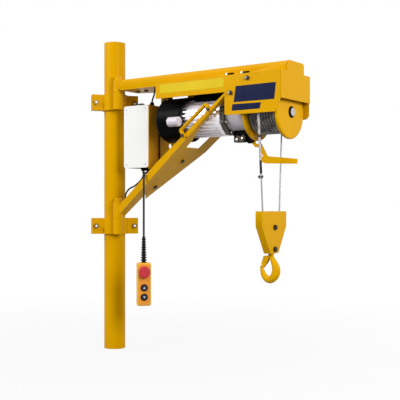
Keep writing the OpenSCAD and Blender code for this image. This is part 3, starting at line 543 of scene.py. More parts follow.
def sweep(path: np.ndarray, radii: np.ndarray, sides: int = 12) -> Surface:
    """A tube: round each path point, a ring of its radii square to the path's tangent.

    Args:
        path: Places along the middle line.
        radii: One radius for each place, or one for each place and side.
        sides: Points round each ring.

    Returns:
        Points and faces.
    """
    tangent = np.gradient(path, axis=0)
    tangent /= np.linalg.norm(tangent, axis=1, keepdims=True)
    helper = np.array([0.37, 0.91, 0.19])
    first = np.cross(helper, tangent)
    first /= np.linalg.norm(first, axis=1, keepdims=True)
    second = np.cross(tangent, first)
    turn = TAU * np.arange(sides) / sides
    ring = np.cos(turn)[None, :, None] * first[:, None] + np.sin(turn)[None, :, None] * second[:, None]
    radii = np.asarray(radii, float).reshape(len(path), -1, 1)
    return path[:, None] + radii * ring, grid_faces(len(path), sides)


def ring_surface(profile_mm: list, sides: int, centre: tuple, axis: tuple) -> Surface:
    """A closed ring: a profile loop swept round the axis.

    Args:
        profile_mm: Radius and height round the loop, anticlockwise with radius across.
        sides: Points round the ring.
        centre: Where height 0 lies on the axis.
        axis: The way heights run.

    Returns:
        Points and faces.
    """
    points, faces = lathe([*profile_mm, profile_mm[0]], sides, centre, axis)
    count = len(profile_mm) * sides
    return points[:-1], [[number % count for number in face] for face in faces[:-2]]


def slab(outline: np.ndarray, thick: float, origin: tuple, across: tuple, up: tuple,
         lip: float = 0.25 * MM) -> Surface:
    """A thin plate: an outline raised off a plane, its top drawn in by a small lip.

    Args:
        outline: Places on the plane, anticlockwise seen from outside.
        thick: How far it stands out.
        origin: The plane's own origin.
        across: The plane's first axis.
        up: The plane's second axis; their cross product points outward.
        lip: How far its upper edge is drawn in.

    Returns:
        Points and faces.
    """
    outline = np.asarray(outline, float)
    across, up = np.array(across, float), np.array(up, float)
    out = np.cross(across, up)
    middle = outline.mean(0)
    reach = np.linalg.norm(outline - middle, axis=1, keepdims=True)
    rings = [(outline, 0.0), (outline, thick - lip),
             (outline - (outline - middle) / reach * lip, thick)]
    points = [ring @ np.stack([across, up]) + out * height for ring, height in rings]
    return np.array(points) + np.array(origin), grid_faces(3, len(outline))


def smooth_route(points_mm: list, steps: int) -> np.ndarray:
    """A smooth line through given points, by cubic stretches that match at each point.

    Args:
        points_mm: The points, in millimetres.
        steps: Places on each stretch.

    Returns:
        Places along the line, in metres.
    """
    route = np.array(points_mm, float) * MM
    padded = np.concatenate([route[:1], route, route[-1:]])
    a, b, c, d = (padded[i : i + len(route) - 1][:, None] for i in range(4))
    t = (np.arange(steps) / steps)[None, :, None]
    line = 0.5 * (2 * b + (c - a) * t + (2 * a - 5 * b + 4 * c - d) * t**2
                  + (3 * b - a - 3 * c + d) * t**3)
    return np.concatenate([line.reshape(-1, 3), route[-1:]])


def round_rect(width: float, height: float, corner: float, steps: int = 5) -> np.ndarray:
    """Outline of a rectangle about its middle, its corners quarter circles.

    Args:
        width, height: The rectangle's size.
        corner: The corners' radius.
        steps: Points on each corner.

    Returns:
        Its points, anticlockwise.
    """
    turn = np.linspace(0, math.pi / 2, steps)
    quarter = np.stack([np.cos(turn), np.sin(turn)], -1) * corner
    spin = np.array([[0, 1], [-1, 0]])
    signs = np.array([[1, 1], [-1, 1], [-1, -1], [1, -1]])
    parts = []
    for sign in signs:
        parts.append(quarter + sign * (np.array([width, height]) / 2 - corner))
        quarter = quarter @ spin
    return np.concatenate(parts)


def merge(parts: list) -> Surface:
    """Joins several surfaces into one.

    Args:
        parts: The surfaces.

    Returns:
        One surface with all their faces.
    """
    points, faces, count = [], [], 0
    for part_points, part_faces in parts:
        flat = part_points.reshape(-1, 3)
        points.append(flat)
        faces += [[number + count for number in face] for face in part_faces]
        count += len(flat)
    return np.concatenate(points), faces


def laid_rope(path: np.ndarray, radius: float, lay: float) -> Surface:
    """A rope of six strands round a core.

    The section's radius swells and shrinks six times round, and turns once in each lay.

    Args:
        path: Places down the middle line, from the top.
        radius: Radius over the strands.
        lay: Length in which a strand goes once round.

    Returns:
        Points and faces.
    """
    sides = 36
    run = np.concatenate([[0], np.cumsum(np.linalg.norm(np.diff(path, axis=0), axis=1))])
    phase = TAU * (np.arange(sides)[None, :] / sides + run[:, None] / lay)
    return sweep(path, radius * (0.8 + 0.2 * np.abs(np.cos(3 * phase))), sides)


def turned_row(name: str, profile_mm: list, sides: int, seats: list, finish: Finish, body: str) -> None:
    """Makes several turned parts of one shape as one piece.

    Args:
        name: The piece's name.
        profile_mm, sides: Their shape, as lathe takes it.
        seats: Where each stands, and the way that it faces.
        finish, body: As add_piece takes them.
    """
    parts = [lathe(profile_mm, sides, place, axis) for place, axis in seats]
    make_piece(name, merge(parts), finish, body)


class Edge(Enum):
    """How a node's edges were made, as the radius in millimetres that they were left with."""

    ROLLED = 1.7
    FOLDED = 1.6
    SHEARED = 0.7
    CAST = 1.2
    MOULDED = 2.6


def rounded_copy(node: str, finish: Finish, edge: Edge, body: str) -> bpy.types.Object:
    """Stands a copy of a node with rounded edges in for it.

    The copy's loose triangles are merged and flat ones joined, then a bevel rounds each edge
    sharper than 35 degrees. Blunter folds stay crisp, and wide faces keep their own flat shading,
    except on a rolled section, whose faces run into each other.

    Args:
        node: The node's name.
        finish: The finish it takes.
        edge: How its edges were made.
        body: The body it moves with.

    Returns:
        The copy.
    """
    mesh = frame["nodes"][node].data.copy()
    shape = bmesh.new()
    shape.from_mesh(mesh)
    bmesh.ops.remove_doubles(shape, verts=shape.verts, dist=1e-6)
    bmesh.ops.dissolve_limit(shape, angle_limit=math.radians(0.6), verts=shape.verts,
                             edges=shape.edges)
    for edge_line in shape.edges:
        turn = math.degrees(edge_line.calc_face_angle(0.0))
        edge_line.smooth = edge is Edge.ROLLED or not 15 < turn < 35
    shape.to_mesh(mesh)
    shape.free()
    mesh.polygons.foreach_set("use_smooth", np.full(len(mesh.polygons), True))
    piece = add_piece(node + "_finished", mesh, finish, body, node)
    bevel = piece.modifiers.new("edges", "BEVEL")
    bevel.width = edge.value * MM
    bevel.segments = 3
    bevel.limit_method = "ANGLE"
    bevel.angle_limit = math.radians(35)
    bevel.harden_normals = True
    if edge is not Edge.ROLLED:
        flats = piece.modifiers.new("flats", "WEIGHTED_NORMAL")
        flats.weight = 100
        flats.keep_sharp = True
    return piece


# ---------- places from the frame ----------


def joint(name: str) -> dict:
    """Finds one of the frame's joints.

    Args:
        name: The joint's name.

    Returns:
        The joint, with its place and its axis.
    """
    return next(one for one in frame["joints"] if one["name"] == name)


def middle_height(node: str) -> float:
    """Finds how high a node's middle is.

    Args:
        node: The node's name.

    Returns:
        The height of the middle of its box.
    """
    low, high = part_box(node)
    return (low[2] + high[2]) / 2


def hinge_axes() -> tuple[np.ndarray, np.ndarray]:
    """Finds how the clamps are turned about the mast.

    Returns:
        The level direction from the mast to the hinge pins, and the one to its left.
    """
    out = np.array([*joint("jib_swing")["pos_m"][:2], 0.0])
    out /= np.linalg.norm(out)
    return out, np.cross([0.0, 0.0, 1.0], out)


# Height of the axis that the drum, the gearbox and the motor share
DRUM_Z = joint("drum_spin")["pos_m"][2]


# ---------- sub-assemblies ----------


@dataclass
class Dressing:
    """The finishes of the frame's own nodes.

    Attributes:
        finishes: Node name to the finish it takes.
        rounded: Node name to how its edges were made.
    """

    finishes: dict = field(default_factory=lambda: {
        **dict.fromkeys(("mast", "clamp_fronts", "clamp_backs", "hinge_pins", "hinge_knuckles",
                         "jib_beam", "roof_plate", "near_side_plate", "far_side_plate",
                         "front_cover", "cradle", "carry_handle", "motor_plate", "limit_lever",
                         "drum_spool", "block_shell"), YELLOW),
        **dict.fromkeys(("hook", "safety_latch"), HOOK_YELLOW),
        "clamp_bolts": BRONZED_AND_SHADED, "block_sheave": ZINC,
        **dict.fromkeys(("dead_end_rope", "rope_bight"), ROPE),
        **dict.fromkeys(("block_pins", "frame_bolts"), BLUED),
        **dict.fromkeys(("cable_glands", "fan_cowl", "terminal_box", "limit_switch"),
                        BLACK_PLASTIC),
        **dict.fromkeys(("up_button", "down_button"), SLATE),
        **dict.fromkeys(("cable_harness", "pendant_cord", "pendant_boot"), RUBBER),
        "drum_shaft": TURNED, "rope_pack": WOUND_ROPE,
        "control_box": WHITE_SHELL, "motor_body": CAST_WHITE, "motor_flange": CAST_DARK,
        "gearbox": CAST_GREY, "capacitor": PALE_CAN, "pendant_housing": ORANGE,
        "stop_button": RED})
    rounded: dict = field(default_factory=lambda: {
        "jib_beam": Edge.ROLLED,
        **dict.fromkeys(("cradle", "front_cover", "block_shell"), Edge.FOLDED),
        **dict.fromkeys(("roof_plate", "near_side_plate", "far_side_plate", "motor_plate",
                         "limit_lever"), Edge.SHEARED),
        **dict.fromkeys(("clamp_fronts", "clamp_backs", "hinge_knuckles", "carry_handle",
                         "drum_spool"), Edge.CAST),
        **dict.fromkeys(("control_box", "pendant_housing", "terminal_box"), Edge.MOULDED)})

    def build(self) -> None:
        """Finishes every node, or stands a rounded copy in for it."""
        record = frame["record"]
        bodies = {node: body for body, nodes in record["behaviour"]["bodies"].items()
                  for node in nodes}
        for node, finish in self.finishes.items():
            if node in self.rounded:
                rounded_copy(node, finish, self.rounded[node], bodies[node])
                continue
            mesh = frame["nodes"][node].data
            mesh.materials.clear()
            mesh.materials.append(finish.build())
            log.info("%s: %s", node, finish.name)


@dataclass
class Pendant:
    """The hanging control: its cord, boot ribs, front, button signs and screws.

    Attributes:
        cord_route: The cord's points, in millimetres, from the gland to the boot.
        cord_d: The cord's diameter.
        width, depth: The housing's size in plan.
        border: Width of the shell's paler border round the front, a painted highlight on the rim.
        boot_ribs: Number of ribs on the cord's boot.
        boot_rib_mm: Radius over the ribs, at the boot's foot and at its top.
        boot_core_mm: Radius between the ribs, at the same two ends.
        button_out_mm: How far a push button's face stands out from the front.
        screw_out, screw_in: Places of the screws, from the middle and from the housing's ends.
    """

    cord_route: tuple = ((178, -30, 633.7), (178, -30.6, 631), (181, -39, 626.5), (185, -49, 626),
                         (189, -59, 623), (192, -67, 612), (194, -71, 592), (194, -71, 560),
                         (194, -71, 480), (194, -71, 406))
    cord_d: float = 7 * MM
    width: float = 48 * MM
    depth: float = 40 * MM
    border: float = 5 * MM
    boot_ribs: int = 10
    boot_rib_mm: tuple = (10.6, 7.0)
    boot_core_mm: tuple = (6.7, 4.8)
    button_out_mm: float = 6.8
    screw_out: float = 15 * MM
    screw_in: float = 8 * MM

    def axes(self) -> tuple[np.ndarray, np.ndarray, np.ndarray]:
        """Finds how the front is turned. A button goes in against the outward direction.

        Returns:
            The front's across, up and outward directions.
        """
        up, out = np.array([0.0, 0.0, 1.0]), -np.array(joint("stop_press")["axis"], float)
        return np.cross(up, out), up, out

    def on_front(self, across: float, height: float, out_mm: float = 0.0) -> np.ndarray:
        """Finds a place on the housing's front.

        Args:
            across: How far across from its middle, which is the boot's.
            height: How high.
            out_mm: How far out from the front.

        Returns:
            The place.
        """
        low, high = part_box("pendant_boot")
        sideways, _, out = self.axes()
        base = np.array([(low[0] + high[0]) / 2, (low[1] + high[1]) / 2, height])
        return base + out * (self.depth / 2 + out_mm * MM) + sideways * across

    def cord(self) -> None:
        """The cord from the box's gland to the pendant's boot."""
        path = smooth_route(self.cord_route, 4)
        tube = sweep(path, np.full(len(path), self.cord_d / 2), 16)
        piece = make_piece("pendant_lead", tube, RUBBER, "jib",
                           instead_of="pendant_cord")

    def boot(self) -> None:
        """The boot's ribs: a cone cut in to its core between one rib and the next.

        The cut follows a cosine along the boot, cut off flat at the rib and at the core.
        """
        low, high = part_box("pendant_boot")
        length_mm = (high[2] - low[2]) / MM
        t = np.linspace(0, 1, 22 * self.boot_ribs + 1)
        rib, core = (np.interp(t, (0, 1), ends) for ends in (self.boot_rib_mm, self.boot_core_mm))
        swell = np.clip(0.72 + 2.4 * np.cos(TAU * self.boot_ribs * t), 0, 1)
        side = np.stack([core + (rib - core) * swell, t * length_mm], -1)
        foot = ((low[0] + high[0]) / 2, (low[1] + high[1]) / 2, low[2])
        ribs = lathe([(TIP, 0.0), *map(tuple, side), (TIP, length_mm)], 28, foot, (0, 0, 1))
        make_piece("pendant_boot_ribs", ribs, BOOT, "jib",
                   instead_of="pendant_boot")

    def front(self) -> None:
        """A deeper orange front inside the shell's paler border, which is a painted highlight on the rim."""
        across, up, _ = self.axes()
        low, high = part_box("pendant_housing")
        outline = round_rect(self.width - 2 * self.border, high[2] - low[2] - 2 * self.border,
                             self.border)
        middle = self.on_front(0, middle_height("pendant_housing"))
        plate = slab(outline, 0.4 * MM, tuple(middle), tuple(across), tuple(up))
        make_piece("pendant_front", plate, FRONT_ORANGE_UNDER_PAINTED_RIM, "jib", smooth=False)

    def signs(self) -> None:
        """Plain pale arrowheads on the two push buttons, one up and one down."""
        across, up, out = self.axes()
        arrowhead = np.array([[-4.6, -3.6], [4.6, -3.6], [0.0, 4.8]]) * MM
        rim = [(9.4, 0), (12.0, 0), (12.0, 3.3), (11.4, 3.9), (10.0, 3.9), (9.4, 3.4)]
        for body, way in (("up_button", 1), ("down_button", -1)):
            height = middle_height(body)
            outline = (arrowhead * (1, way))[::way]
            arrow = slab(outline, 0.5 * MM, self.on_front(0, height, self.button_out_mm),
                         across, up, 0.1 * MM)
            make_piece(body + "_arrow", arrow, PALE_INLAY, body, smooth=False)
            collar = ring_surface(rim, 40, self.on_front(0, height), out)
            make_piece(body + "_collar", collar, BLACK_PLASTIC, "jib")

    def screws(self) -> None:
        """Four small screws at the front's corners."""
        out = self.axes()[2]
        low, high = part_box("pendant_housing")
        head = [(TIP, 0), (2.2, 0), (2.2, 0.6), (1.7, 1.0), (TIP, 1.0)]
        seats = [(self.on_front(across, height), out)
                 for across in (-self.screw_out, self.screw_out)
                 for height in (low[2] + self.screw_in, high[2] - self.screw_in)]
        turned_row("pendant_screws", head, 16, seats, ORANGE, "jib")

    def build(self) -> None:
        """Makes the pendant's pieces."""
        self.cord()
        self.boot()
        self.front()
        self.signs()
        self.screws()


@dataclass
class Plates:
    """The bare films on the hoist's near side. Corners are in X and Z, in millimetres.

    Attributes:
        strip: The long lemon strip.
        panel: The large blue panel.
        small_panel: The blue panel under it.
        thick: A film's thickness, with its backing plate.
    """

    strip: tuple = ((281, 886), (536, 886), (536, 916), (281, 916))
    panel: tuple = ((574.7, 835.7), (721.7, 834.7), (727.6, 885.7), (582.6, 885.5))
    small_panel: tuple = ((566.9, 809), (670.3, 809.3), (675, 828.2), (570.3, 829.5))
    thick: float = 0.35 * MM

    def build(self) -> None:
        """Makes each film as a thin plate on the side plate."""
        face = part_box("near_side_plate")[0][1]
        for name, corners, finish in (("strip_film", self.strip, LEMON_FILM),
                                      ("panel_film", self.panel, BLUE_FILM),
                                      ("small_panel_film", self.small_panel, BLUE_FILM)):
            film = slab(np.array(corners) * MM, self.thick, (0, face, 0), (1, 0, 0), (0, 0, 1),
                        0.1 * MM)
            make_piece(name, film, finish, "jib", smooth=False)


@dataclass
class Welds:
    """Weld beads at the hinge barrels: vertical fillets with a ripple every few millimetres.

    Attributes:
        radius_mm: Half the bead's width.
        ripple_mm: Distance from one ripple to the next.
        clamp_h: Height of a clamp.
        barrel_out, barrel_side: Place of a clamp's beads from the mast's middle, towards the
            hinge and across.
        run_out: How far a bead stops short of its clamp's edges.
        beam_h: Height of the beam's flat side.
    """

    radius_mm: float = 2.6
    ripple_mm: float = 3.0
    clamp_h: float = 57 * MM
    barrel_out: float = 45.5 * MM
    barrel_side: float = 13.5 * MM
    run_out: float = 2 * MM
    beam_h: float = 27 * MM

    def bead(self, start: np.ndarray, end: np.ndarray) -> Surface:
        """Makes a straight bead, whose radius swells and shrinks along it as a cosine.

        Args:
            start, end: Its two ends.

        Returns:
            Points and faces.
        """
        start, end = np.asarray(start, float), np.asarray(end, float)
        length = np.linalg.norm(end - start)
        ripples = length / (self.ripple_mm * MM)
        t = np.linspace(0, 1, int(ripples * 6) + 2)
        path = start + (end - start) * t[:, None]
        swell = 1 + 0.12 * np.cos(TAU * t * ripples)
        ends = np.clip(np.minimum(t, 1 - t) * length / (2 * MM), 0.15, 1)
        return sweep(path, self.radius_mm * MM * swell * ends, 12)

    def build(self) -> None:
        """Makes the beads of the clamps and of the beam."""
        out, side = hinge_axes()
        low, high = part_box("clamp_fronts")
        up = np.array([0.0, 0.0, 1.0])
        beads = []
        for base in (low[2], high[2] - self.clamp_h):
            for way in (-1, 1):
                plan = out * self.barrel_out + side * way * self.barrel_side
                beads.append(self.bead(plan + up * (base + self.run_out),
                                       plan + up * (base + self.clamp_h - self.run_out)))
        make_piece("clamp_welds", merge(beads), YELLOW, "mast")
        low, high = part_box("jib_beam")
        beads = [self.bead((low[0], y, low[2]), (low[0], y, low[2] + self.beam_h))
                 for y in (low[1], high[1])]
        make_piece("beam_welds", merge(beads), YELLOW, "jib")


@dataclass
class Falls:
    """The two falls that carry the block, each laid from the jib at its top to the block below.

    Attributes:
        radius: The rope's radius.
        lay: Length in which a strand goes once round.
    """

    radius: float = 2.5 * MM
    lay: float = 24 * MM

    def build(self) -> None:
        """Lays each fall straight between the corners of its node, slanted across the lift."""
        for node, near in (("near_fall", True), ("far_fall", False)):
            low, high = (np.array(corner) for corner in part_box(node))
            x = (low[0] + high[0]) / 2
            inner, outer = (high[1], low[1]) if near else (low[1], high[1])
            inward = self.radius if near else -self.radius
            top = np.array([x, outer + inward, high[2]])
            foot = np.array([x, inner - inward, low[2]])
            steps = int((top - foot)[2] / self.lay * 12)
            path = top + (foot - top) * np.linspace(0, 1, steps)[:, None]
            piece = make_piece(node + "_strands", laid_rope(path, self.radius, self.lay), ROPE,
                               None, instead_of=node)
            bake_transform(piece)


@dataclass
class RopeEnd:
    """The fixed rope's end: its doubled strand, and the stop sleeve and wire clip below it.

    Attributes:
        dead_y: How far out of the jib's middle the rope is held, at the drum's height.
        sheave_r: Radius at which it meets the sheave.
        top, low: Heights of the doubled strand's ends.
        radius: Radius over the doubled rope.
        lay: Length in which a strand goes once round.
        band_z: Height of the band round the strand.
        clip_h: Height of the clip; the sleeve stands on it.
        clip_leg: Half the distance between the clip's legs.
    """

    dead_y: float = 77 * MM
    sheave_r: float = 48 * MM
    top: float = 797 * MM
    low: float = 652 * MM
    radius: float = 4.2 * MM
    lay: float = 26 * MM
    band_z: float = 728 * MM
    clip_h: float = 20 * MM
    clip_leg: float = 5.5 * MM

    def on_fall(self, z: np.ndarray | float) -> np.ndarray:
        """Finds the fall's middle: a straight line from where it is held down to the sheave.

        Args:
            z: One height, or several.

        Returns:
            The place, or one row for each height.
        """
        x, _, sheave_z = joint("lift")["pos_m"]
        share = (DRUM_Z - np.asarray(z, float)) / (DRUM_Z - sheave_z)
        return np.stack([x + 0 * share, (self.dead_y - self.sheave_r) * share - self.dead_y,
                         np.asarray(z, float)], -1)

    def stop(self) -> None:
        """The black sleeve, and the clip's saddle, U-bolt and two nuts under it."""
        low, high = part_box("rope_stop")
        foot, seat = self.on_fall(low[2]), self.on_fall(low[2] + self.clip_h)
        along = (seat - foot) / np.linalg.norm(seat - foot)
        length = (high[2] - seat[2]) / MM
        wall = [(2.7, 0), (3.9, 0), (3.9, length), (2.7, length)]
        make_piece("stop_sleeve", ring_surface(wall, 28, seat, along), RUBBER, "jib",
                   instead_of="rope_stop")
        side = np.array([1.0, 0, 0])
        out, middle = np.cross(side, along), (foot + seat) / 2
        bend = np.linspace(0, math.pi, 13)[:, None]
        arch = middle + self.clip_leg * (np.cos(bend) * side - np.sin(bend) * out * 0.9)
        legs = [middle + way * self.clip_leg * side + out * 6 * MM for way in (1, -1)]
        bolt = np.concatenate([[legs[0]], arch, [legs[1]]])
        nut = [(TIP, 0), (3.6, 0), (3.6, 2.4), (TIP, 2.4)]
        parts = [sweep(bolt, np.full(len(bolt), 1.6 * MM), 10)]
        parts += [lathe(nut, 6, leg - out * 3 * MM, out) for leg in legs]
        make_piece("clip_bolt", merge(parts), BLUED, "jib", smooth=False, instead_of="rope_stop")
        saddle = slab(round_rect(15 * MM, 12 * MM, 2 * MM), 3.4 * MM,
                      tuple(middle - out * 0.2 * MM), tuple(side), tuple(along))
        make_piece("clip_saddle", saddle, ZINC, "jib", smooth=False, instead_of="rope_stop")

    def build(self) -> None:
        """Lays the doubled strand, and adds what grips it."""
        self.stop()
        path = self.on_fall(np.linspace(self.top, self.low, 150))
        make_piece("doubled_strand", laid_rope(path, self.radius, self.lay), PALE_SLEEVE, "jib")
        band = [(3.4, -4), (5.2, -4), (5.6, -3), (5.6, 3), (5.2, 4), (3.4, 4)]
        make_piece("strand_clamp", ring_surface(band, 24, self.on_fall(self.band_z), (0, 0, 1)),
                   BLUED, "jib")


@dataclass
class WoundRope:
    """The rope on the drum: one helix laid turn against turn.

    Attributes:
        rope_r: The rope's radius.
        pitch: Distance along the drum from one turn to the next.
        gap: From a disc to the middle of the turn next to it, in rope radii.
        sink: How much lower the turns next to the discs lie, as a share of the pitch.
        fade: Turns from a disc to where the rope lies at its full height.
        steps: Places on each turn.
        shade_ring_mm: Thickness of the black ring under the turns, painted shade where the lower layers would lie
            in shadow.
    """

    rope_r: float = 2.45 * MM
    pitch: float = 5 * MM
    gap: float = 1.1
    sink: float = 0.85
    fade: float = 1.6
    steps: int = 56
    shade_ring_mm: float = 8.0

    def build(self) -> None:
        """Sweeps the rope round the drum; its angle grows evenly with its place along it.

        Its radius drops by most of a pitch over the last turn at each end, where the top layer
        stops short of the discs.
        """
        low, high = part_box("rope_pack")
        axis_z = middle_height("rope_pack")
        reach = (high[2] - low[2]) / 2 - self.rope_r
        sunk = self.sink * self.pitch
        start, end = low[0] + self.gap * self.rope_r, high[0] - self.gap * self.rope_r
        turns = (end - start) / self.pitch
        t = np.linspace(0, 1, int(turns * self.steps))
        angle = TAU * turns * t
        radius = reach - sunk * np.clip(self.fade - turns * np.minimum(t, 1 - t), 0, 1)
        path = np.stack([start + (end - start) * t, radius * np.cos(angle),
                         axis_z + radius * np.sin(angle)], -1)
        make_piece("wound_rope", sweep(path, np.full(len(path), self.rope_r), 10), WOUND_ROPE,
                   "drum", instead_of="rope_pack")
        # A black ring under the turns, seen between them and at the ends: painted shade, not a part of the drum
        width, outer = (high[0] - low[0]) / MM, (reach - sunk) / MM
        inner = outer - self.shade_ring_mm
        shade_ring = ring_surface([(inner, 0), (outer, 0), (outer, width), (inner, width)], 64,
                           (low[0], 0, axis_z), (1, 0, 0))
        make_piece("rope_shade_ring", shade_ring, BLACK_PLASTIC, "drum")


@dataclass
class Fasteners:
    """Small screws, bolt ends and switch parts that the frame leaves out.

    Attributes:
        slot_x_mm, slot_z_mm: Places of the bolts in the beam's slots.
        side_bolts_mm: Places of the near side's bolts, in X and Z.
        lid_inset: Distance of the lid's screws from the box's edges.
        plate_mm: Outline of the switch's plate, from its box's low corner, in X and Z.
        rollers_mm: Places of the switch's rollers, from the same corner.
    """

    slot_x_mm: tuple = (521, 579)
    slot_z_mm: float = 933.5
    side_bolts_mm: tuple = ((562.5, 866), (625, 907.5))
    lid_inset: float = 12 * MM
    plate_mm: tuple = ((4, 6), (20, 3), (40, 9), (44, 20), (36, 29), (26, 22), (12, 27), (5, 19))
    rollers_mm: tuple = ((13, 14), (33, 17))

    def hex_head(self, centre: tuple, axis: tuple, flat_mm: float) -> Surface:
        """Makes a chamfered hexagon head with a domed washer under it.

        Args:
            centre: Where it sits.
            axis: The way that it faces.
            flat_mm: Its width over the flats.

        Returns:
            Points and faces.
        """
        r, rim, top = flat_mm / math.sqrt(3), flat_mm * 0.55, flat_mm * 0.65
        washer = [(TIP, 0), (r * 1.25, 0), (r * 1.25, 1.0), (r, 1.2), (TIP, 1.2)]
        head = [(TIP, 1.0), (r, 1.0), (r, rim), (r * 0.86, top), (TIP, top)]
        return merge([lathe(washer, 28, centre, axis), lathe(head, 6, centre, axis)])

    def near_side(self) -> None:
        """The bolts in the beam's slots, and the ends of the two bolts in the side plate."""
        near = (0.0, -1.0, 0.0)
        beam_y, tip_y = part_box("jib_beam")[0][1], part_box("frame_bolts")[0][1]
        heads = [self.hex_head((x * MM, beam_y, self.slot_z_mm * MM), near, 6.5)
                 for x in self.slot_x_mm]
        make_piece("slot_bolts", merge(heads), ZINC, "jib", smooth=False)
        dome = [(TIP, -0.2), (3.2, -0.2), (2.6, 0.7), (TIP, 1.0)]
        tips = [((x * MM, tip_y, z * MM), near) for x, z in self.side_bolts_mm]
        turned_row("side_bolt_tips", dome, 20, tips, ZINC, "jib")

    def clamp_tips(self) -> None:
        """Bright ground ends on the clamp bolts' heads, on the side that the bolts come from."""
        out, side = hinge_axes()
        mesh = frame["nodes"]["clamp_bolts"].data
        points = np.array([tuple(vertex.co) for vertex in mesh.vertices])
        between = middle_height("clamp_bolts")
        ends = points[points @ out > (points @ out).max() - 0.2 * MM]
        dome = [(TIP, -0.3), (5.2, -0.3), (4.2, 0.9), (TIP, 1.2)]
        faces = [clamp[(clamp @ side) * way > 0]
                 for clamp in (ends[ends[:, 2] < between], ends[ends[:, 2] > between])
                 for way in (-1, 1)]
        seats = [(face.mean(0), out) for face in faces]
        turned_row("clamp_bolt_tips", dome, 24, seats, TURNED, "mast")

    def switch_trim(self) -> None:
        """The limit switch's side plate and its two bright rollers."""
        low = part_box("limit_switch")[0]
        plate = slab(np.array(self.plate_mm) * MM, 1.4 * MM, tuple(low), (1, 0, 0), (0, 0, 1))
        make_piece("switch_plate", plate, BLUED, "jib", smooth=False)
        roller = [(TIP, 0), (4.4, 0), (4.4, 3), (3.8, 3.6), (TIP, 3.6)]
        seats = [((low[0] + x * MM, low[1] - 1.2 * MM, low[2] + z * MM), (0, -1, 0))
                 for x, z in self.rollers_mm]
        turned_row("switch_rollers", roller, 24, seats, TURNED, "jib")

    def lid_screws(self) -> None:
        """Four screws at the corners of the control box's lid."""
        low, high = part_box("control_box")
        seats = [((x, low[1], z), (0, -1, 0))
                 for x in (low[0] + self.lid_inset, high[0] - self.lid_inset)
                 for z in (low[2] + self.lid_inset, high[2] - self.lid_inset)]
        head = [(TIP, -1.8), (3.0, -1.8), (3.0, -0.6), (2.4, -0.2), (TIP, -0.2)]
        turned_row("lid_screws", head, 20, seats, ZINC, "jib")

    def build(self) -> None:
        """Makes all of them."""
        self.near_side()
        self.clamp_tips()
        self.switch_trim()
        self.lid_screws()


@dataclass
class MotorTrim:
    """Grille, screws, bolt ends and ties on and beside the motor.

    Attributes:
        grille_radii_mm: Radii of the grille's rings.
        wire_mm, spoke_mm: Radii of a ring's wire and of a spoke.
        spoke_ends_mm: Radii at which a spoke starts and ends.
        spokes: Number of spokes.
        rim_screws: Turns of the screws round the cowl's rim, in degrees.
        terminal_x_mm, terminal_y_mm: Places of the terminal box's screws.
        flange_bolts: Number of bolts round the motor's flange.
        flange_r: Radius of their circle.
        ties_mm: Middle of each tie's foot, and its radius.
    """

    grille_radii_mm: tuple = (12, 20, 28, 36, 44, 52)
    wire_mm: float = 1.1
    spoke_mm: float = 1.3
    spoke_ends_mm: tuple = (6, 56)
    spokes: int = 8
    rim_screws: tuple = (20, 110, 200, 290)
    terminal_x_mm: tuple = (394, 461)
    terminal_y_mm: tuple = (-24, 24)
    flange_bolts: int = 8
    flange_r: float = 57 * MM
    ties_mm: tuple = ((152, -22, 628, 4.2), (196.1, 13, 690, 4.2), (196.1, 13, 755, 4.2))

    def outward(self, angle: float) -> np.ndarray:
        """Finds a direction out from the motor's shaft.

        Args:
            angle: How far round the shaft, from +Y towards +Z.

        Returns:
            The direction.
        """
        return np.array([0.0, math.cos(angle), math.sin(angle)])

    def grille(self) -> None:
        """Concentric wire rings over radial spokes on the cowl's closed end."""
        centre = np.array([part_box("fan_cowl")[0][0], 0.0, DRUM_Z])
        turn = TAU * np.arange(8) / 8
        parts = []
        for radius in self.grille_radii_mm:
            loop = np.stack([radius + self.wire_mm * np.cos(turn), self.wire_mm * np.sin(turn)], -1)
            parts.append(ring_surface(loop.tolist(), 48, centre, (-1, 0, 0)))
        run = np.linspace(*self.spoke_ends_mm, 6)[:, None] * MM
        for angle in TAU * np.arange(self.spokes) / self.spokes:
            parts.append(sweep(centre + self.outward(angle) * run, np.full(6, self.spoke_mm * MM), 8))
        make_piece("cowl_grille", merge(parts), BLACK_PLASTIC, "jib")

    def screws(self) -> None:
        """Pan heads round the cowl's rim and on the terminal box's lid."""
        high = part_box("fan_cowl")[1]
        pan = [(TIP, -0.6), (3.6, -0.6), (3.6, 0.9), (2.7, 2.0), (TIP, 2.3)]
        centre = np.array([high[0] - 9 * MM, 0.0, DRUM_Z])
        rim = high[2] - DRUM_Z - 0.2 * MM
        seats = [(centre + self.outward(angle) * rim, self.outward(angle))
                 for angle in np.radians(self.rim_screws)]
        lid_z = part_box("terminal_box")[1][2]
        seats += [((x * MM, y * MM, lid_z), (0, 0, 1))
                  for x in self.terminal_x_mm for y in self.terminal_y_mm]
        turned_row("pan_screws", pan, 20, seats, ZINC, "jib")

    def flange_caps(self) -> None:
        """Bright domed ends on the bolts that hold the motor to its gearbox."""
        centre = np.array([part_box("motor_flange")[1][0], 0.0, DRUM_Z])
        dome = [(TIP, -0.3), (4.8, -0.3), (4.4, 1.4), (2.6, 2.4), (TIP, 2.7)]
        angles = TAU * (np.arange(self.flange_bolts) + 0.5) / self.flange_bolts
        seats = [(centre + self.outward(angle) * self.flange_r, (1, 0, 0)) for angle in angles]
        turned_row("flange_bolt_ends", dome, 20, seats, TURNED, "jib")

    def ties(self) -> None:
        """Nylon ties round the cables that climb the plate."""
        parts = []
        for x, y, z, r in self.ties_mm:
            band = [(r - 0.4, 0), (r + 0.7, 0), (r + 0.7, 3.2), (r - 0.4, 3.2)]
            parts.append(ring_surface(band, 24, (x * MM, y * MM, z * MM), (0, 0, 1)))
        make_piece("cable_ties", merge(parts), BLACK_PLASTIC, "jib")

    def build(self) -> None:
        """Makes the motor's trim."""
        self.grille()
        self.screws()
        self.flange_caps()
        self.ties()


